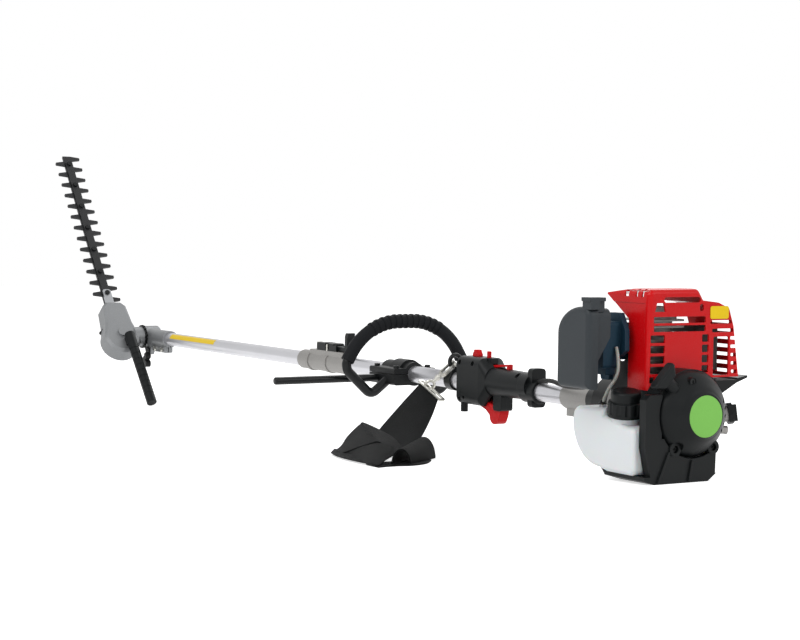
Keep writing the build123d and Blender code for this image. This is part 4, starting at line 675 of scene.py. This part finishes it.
@dataclass
class Harness:
    """The shoulder strap: one length of wide webbing from its ring down to a loose pile of folds.

    Each lay is a list of stations, in millimetres in the resting frame. A station is the two
    edges of the webbing, so a lay bends, turns over and stands on edge as cloth tape does.
    """

    thickness: float = 2.0
    tape_width: float = 50.0
    row_pitch: float = 6.0
    hem: float = 0.4
    across: int = 8
    between: int = 8
    drop: tuple = (
        ((519, 36, 97), (479, 31, 73)),
        ((503, 70, 77), (455, 56, 53)),
        ((487, 104, 56), (432, 84, 32)),
        ((471, 136, 36), (410, 112, 15)),
        ((455, 164, 18), (394, 136, 5)),
        ((440, 186, 6), (384, 158, 3)),
    )
    fold: tuple = (
        ((334, 192, 8), (350, 170, 14)),
        ((352, 196, 20), (392, 164, 30)),
        ((362, 204, 27), (465, 165, 44)),
        ((372, 209, 25), (470, 172, 42)),
        ((398, 216, 17), (476, 188, 26)),
        ((424, 220, 9), (474, 201, 12)),
        ((440, 224, 3), (480, 212, 3)),
    )
    band: tuple = (
        ((318, 205, 13), (330, 198, 22)),
        ((304, 228, 8), (346, 206, 26)),
        ((296, 247, 2), (360, 211, 25)),
        ((340, 245, 4), (394, 214, 18)),
        ((398, 231, 4), (428, 216, 9)),
    )
    floor_lay: tuple = (
        ((298, 247, 3.4), (312, 238, 5)),
        ((340, 246, 3.4), (360, 230, 8)),
        ((388, 241, 3.4), (410, 220, 8)),
        ((434, 232, 3.4), (460, 206, 7)),
        ((474, 218, 3.4), (506, 194, 5)),
    )
    under: tuple = (
        ((288, 248, 1.2), (326, 244, 1.2)),
        ((292, 232, 1.2), (340, 236, 1.2)),
        ((291, 212, 1.2), (341, 215, 1.2)),
        ((286, 196, 1.2), (338, 196, 1.2)),
        ((297, 166, 1.2), (346, 174, 1.2)),
        ((328, 138, 1.2), (372, 154, 1.2)),
    )
    roll_near: tuple = (300.0, 205.0, 13.0, 22.0)
    roll_far: tuple = (356.0, 133.0, 16.0, 31.0)
    roll_side: tuple = (-0.52, -0.854, 0.0)
    roll_start: float = 1.08
    roll_turn: float = 1.16
    roll_steps: int = 8
    lowest: float = 1.5

    def roll(self) -> tuple:
        """Return the stations of the lay that rolls over beside the pile, with its mouth forward."""
        side = Vector(self.roll_side)
        stations = []
        for step in range(self.roll_steps + 1):
            angle = math.pi * (self.roll_start - self.roll_turn * step / self.roll_steps)
            ends = []
            for x, y, radius, height in (self.roll_near, self.roll_far):
                rise = max(self.lowest, height * math.sin(angle))
                ends.append(Vector((x, y, 0)) + side * radius * math.cos(angle) + Vector((0, 0, rise)))
            stations.append(tuple(tuple(end) for end in ends))
        return tuple(stations)

    def smooth(self, places: list[Vector], at: float) -> Vector:
        """Follow a smooth line through places.

        Args:
            places: the places it passes.
            at: how far along, in places.

        Returns:
            The point on the line.
        """
        first = min(int(at), len(places) - 2)
        t = at - first
        near = [places[max(0, min(len(places) - 1, first + step))] for step in (-1, 0, 1, 2)]
        a, b, c, d = near
        bend = (2 * a - 5 * b + 4 * c - d) * t**2 + (3 * b - a - 3 * c + d) * t**3
        return 0.5 * (2 * b + (c - a) * t + bend)

    def lay(self, name: str, stations: tuple) -> bpy.types.Object:
        """Make one lay of webbing from its stations.

        Args:
            name: the piece's name.
            stations: pairs of edge points in millimetres.

        Returns:
            The piece, with its thickness as a modifier.
        """
        left = [Vector(station[0]) for station in stations]
        right = [Vector(station[1]) for station in stations]
        along = self.between * (len(stations) - 1)
        bm = bmesh.new()
        bmesh.ops.create_grid(bm, x_segments=self.across, y_segments=along, size=0.5, calc_uvs=True)
        threads = bm.loops.layers.uv.verify()
        for face in bm.faces:
            for loop in face.loops:
                side, way = loop.vert.co.x + 0.5, loop.vert.co.y + 0.5
                loop[threads].uv = (side * self.tape_width * MM, way * along * self.row_pitch * MM)
        for vert in bm.verts:
            side, way = vert.co.x + 0.5, (vert.co.y + 0.5) * (len(stations) - 1)
            vert.co = self.smooth(left, way).lerp(self.smooth(right, way), side) * MM
        bmesh.ops.recalc_face_normals(bm, faces=bm.faces)
        piece = new_piece(name, bm, WEBBING, "main")
        wall = piece.modifiers.new("thickness", "SOLIDIFY")
        wall.thickness = self.thickness * MM
        wall.offset = 0.0
        edge = piece.modifiers.new("edge", "BEVEL")
        edge.width = self.hem * MM
        edge.segments = 2
        return piece

    def build(self) -> None:
        """Make every lay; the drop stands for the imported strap."""
        lays = {
            "webbing_drop": self.drop,
            "webbing_fold": self.fold,
            "webbing_band": self.band,
            "webbing_floor": self.floor_lay,
            "webbing_under": self.under,
            "webbing_roll": self.roll(),
        }
        for name, stations in lays.items():
            piece = self.lay(name, stations)
            for polygon in piece.data.polygons:
                polygon.use_smooth = True
            if name == "webbing_drop":
                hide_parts("harness_strap")


# ---------------------------------------------------------------- films


@dataclass
class Films:
    """The plain coloured films: a green disc on the starter and yellow patches."""

    disc_radius: float = 26.5
    film: float = 0.25
    tube_radius: float = 13.0
    clear: float = 0.05
    corner: float = 3.0

    def disc(self) -> None:
        """Stick the plain green disc on the starter's flat middle."""
        bm = bmesh.new()
        bmesh.ops.create_circle(bm, cap_ends=True, segments=96, radius=self.disc_radius * MM)
        grown = bmesh.ops.extrude_face_region(bm, geom=bm.faces[:])
        verts = [item for item in grown["geom"] if isinstance(item, bmesh.types.BMVert)]
        bmesh.ops.translate(bm, vec=(0, 0, self.film * MM), verts=verts)
        rim = [edge for edge in bm.edges if all(vert in verts for vert in edge.verts)]
        bmesh.ops.bevel(bm, geom=rim, offset=0.1 * MM, affect="EDGES", segments=2, profile=0.5, material=-1)
        turn = Matrix.Rotation(-math.pi / 2 - POLE_TILT, 4, "Y")
        bmesh.ops.transform(bm, matrix=Matrix.Translation(at_rest(-0.02, 0, -1)) @ turn, verts=bm.verts)
        bmesh.ops.recalc_face_normals(bm, faces=bm.faces)
        new_piece("green_disc", bm, GREEN_FILM, "main")

    def patch(self, name: str, x: float, y_span: tuple[float, float], z_span: tuple[float, float]) -> None:
        """Stick a plain yellow patch on a face across the pole.

        Args:
            name: the piece's name.
            x: where the face is, millimetres along the pole.
            y_span: the patch's lower and upper limit to the left.
            z_span: its lower and upper limit in height.
        """
        bm = bmesh.new()
        bmesh.ops.create_cube(bm, size=1.0)
        size = Vector((self.film, y_span[1] - y_span[0], z_span[1] - z_span[0])) * MM
        bmesh.ops.scale(bm, vec=size, verts=bm.verts)
        through = [edge for edge in bm.edges if abs(edge.verts[0].co.x - edge.verts[1].co.x) > size.x / 2]
        bmesh.ops.bevel(
            bm,
            geom=through,
            offset=self.corner * MM,
            affect="EDGES",
            segments=6,
            profile=0.5,
            material=-1,
        )
        centre = at_rest(x - self.film / 2, sum(y_span) / 2, sum(z_span) / 2)
        turn = Matrix.Rotation(-POLE_TILT, 4, "Y")
        bmesh.ops.transform(bm, matrix=Matrix.Translation(centre) @ turn, verts=bm.verts)
        new_piece(name, bm, YELLOW_FILM, "main")

    def wrap(self, name: str, x_span: tuple[float, float], turn: tuple[float, float], body: str) -> None:
        """Wrap a plain yellow film part of the way round the tube.

        Args:
            name: the piece's name.
            x_span: where it starts and ends along the pole, in millimetres.
            turn: where it starts and ends round the tube, in degrees up from its left side.
            body: the body that it moves with.
        """
        radius = self.tube_radius + self.film / 2 + self.clear
        bm = bmesh.new()
        bmesh.ops.create_grid(bm, x_segments=2, y_segments=20, size=0.5)
        for vert in bm.verts:
            angle = math.radians(turn[0] + (turn[1] - turn[0]) * (vert.co.y + 0.5))
            along = x_span[0] + (x_span[1] - x_span[0]) * (vert.co.x + 0.5)
            vert.co = at_rest(along, radius * math.cos(angle), radius * math.sin(angle))
        piece = new_piece(name, bm, YELLOW_FILM, body)
        wall = piece.modifiers.new("film", "SOLIDIFY")
        wall.thickness = self.film * MM
        wall.offset = 0.0

    def build(self) -> None:
        """Stick every film."""
        self.disc()
        self.wrap("tube_patch", (1396, 1596), (14, 62), "attachment")
        self.patch("cover_patch", 56.0, (-83, -52), (117.5, 134))


# ---------------------------------------------------------------- stage


@dataclass
class Stage:
    """The pale floor, the soft studio lamps and the camera."""

    eye: Vector = field(default_factory=lambda: Vector((-1.8275, 1.502, 0.265)))
    heading: float = 31.333
    pitch: float = 1.508
    lens: float = 82.08
    floor_glow: float = 0.62
    sky_light: float = 0.55
    aim_at: tuple = (0.6, 0.0, 0.1)
    lamp_list: tuple = (
        ("key", (-0.6, 2.6, 2.6), 2.4, 60.0),
        ("fill", (-2.4, -1.2, 1.6), 2.0, 22.0),
        ("rim", (2.4, -2.0, 2.4), 2.0, 30.0),
    )

    def build(self) -> None:
        """Make the floor, the world, the lamps and the camera."""
        self.floor()
        self.world()
        self.lamps()
        self.camera()

    def seen(self, tree: bpy.types.NodeTree) -> bpy.types.NodeSocket:
        """Return 1 where the camera or a reflection looks, and 0 for other light."""
        path = add_node(tree, "ShaderNodeLightPath").outputs
        return compute(tree, "MAXIMUM", path["Is Camera Ray"], path["Is Glossy Ray"])

    def floor(self) -> None:
        """Lay a white floor that only the camera sees as pure white."""
        mesh = bpy.data.meshes.new("floor")
        bm = bmesh.new()
        bmesh.ops.create_grid(bm, x_segments=1, y_segments=1, size=30.0)
        bm.to_mesh(mesh)
        bm.free()
        floor = bpy.data.objects.new("floor", mesh)
        bpy.context.scene.collection.objects.link(floor)
        made = bpy.data.materials.new("white_paper_floor")
        made.use_nodes = True
        tree = made.node_tree
        paper = tree.nodes["Principled BSDF"]
        paper.inputs["Base Color"].default_value = linear("f2f2f2")
        paper.inputs["Roughness"].default_value = 0.95
        glow = compute(tree, "MULTIPLY", self.seen(tree), self.floor_glow)
        tree.links.new(glow, paper.inputs["Emission Strength"])
        paper.inputs["Emission Color"].default_value = linear("ffffff")
        mesh.materials.append(made)

    def world(self) -> None:
        """Give the camera and the reflections a white surround, and the object soft light."""
        world = bpy.data.worlds.new("studio")
        bpy.context.scene.world = world
        world.use_nodes = True
        tree = world.node_tree
        tree.nodes.clear()
        levels = {"Value": self.seen(tree), "To Min": self.sky_light, "To Max": 1.0}
        strength = add_node(tree, "ShaderNodeMapRange", levels).outputs["Result"]
        sky = add_node(tree, "ShaderNodeBackground", {"Strength": strength, "Color": linear("ffffff")})
        add_node(tree, "ShaderNodeOutputWorld", {"Surface": sky.outputs["Background"]})

    def lamps(self) -> None:
        """Hang one large key lamp, a fill and a rim lamp."""
        for name, at, size, power in self.lamp_list:
            lamp = bpy.data.lights.new(name, "AREA")
            lamp.shape = "DISK"
            lamp.size = size
            lamp.energy = power
            hung = bpy.data.objects.new(name, lamp)
            hung.location = at
            aim = Vector(self.aim_at) - Vector(at)
            hung.rotation_euler = aim.to_track_quat("-Z", "Y").to_euler()
            bpy.context.scene.collection.objects.link(hung)

    def camera(self) -> None:
        """Stand the camera behind and to the left of the engine, looking along the pole."""
        data = bpy.data.cameras.new("camera")
        data.lens = self.lens
        data.sensor_width = 36.0
        data.clip_end = 100.0
        camera = bpy.data.objects.new("camera", data)
        turn, dip = math.radians(self.heading), math.radians(self.pitch)
        aim = Vector((math.cos(turn) * math.cos(dip), -math.sin(turn) * math.cos(dip), -math.sin(dip)))
        camera.location = self.eye
        camera.rotation_euler = aim.to_track_quat("-Z", "Y").to_euler()
        bpy.context.scene.collection.objects.link(camera)
        bpy.context.scene.camera = camera


# ---------------------------------------------------------------- main


def dress_frame(frame: dict) -> None:
    """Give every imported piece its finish.

    Args:
        frame: the loaded frame.
    """
    for finish, nodes in NODE_FINISHES.items():
        for name in nodes:
            piece = frame["nodes"][name]
            piece.data.materials.clear()
            piece.data.materials.append(finish.material())


def main() -> None:
    """Build the stage and the pieces."""
    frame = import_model()
    Stage().build()
    for line in LINES:
        line.build()
    grommet("tank_grommet", LINES[1].route[-1], LINES[1].diameter / 2, RUBBER)
    StarterCord().build()
    dress_frame(frame)
    Harness().build()
    Films().build()
    bpy.context.scene.view_settings.view_transform = "Standard"
    LOG.info("pieces reported: %d", len(frame["nodes"]))


if __name__ == "__main__":
    logging.basicConfig(level=logging.INFO, format="%(message)s")
    main()
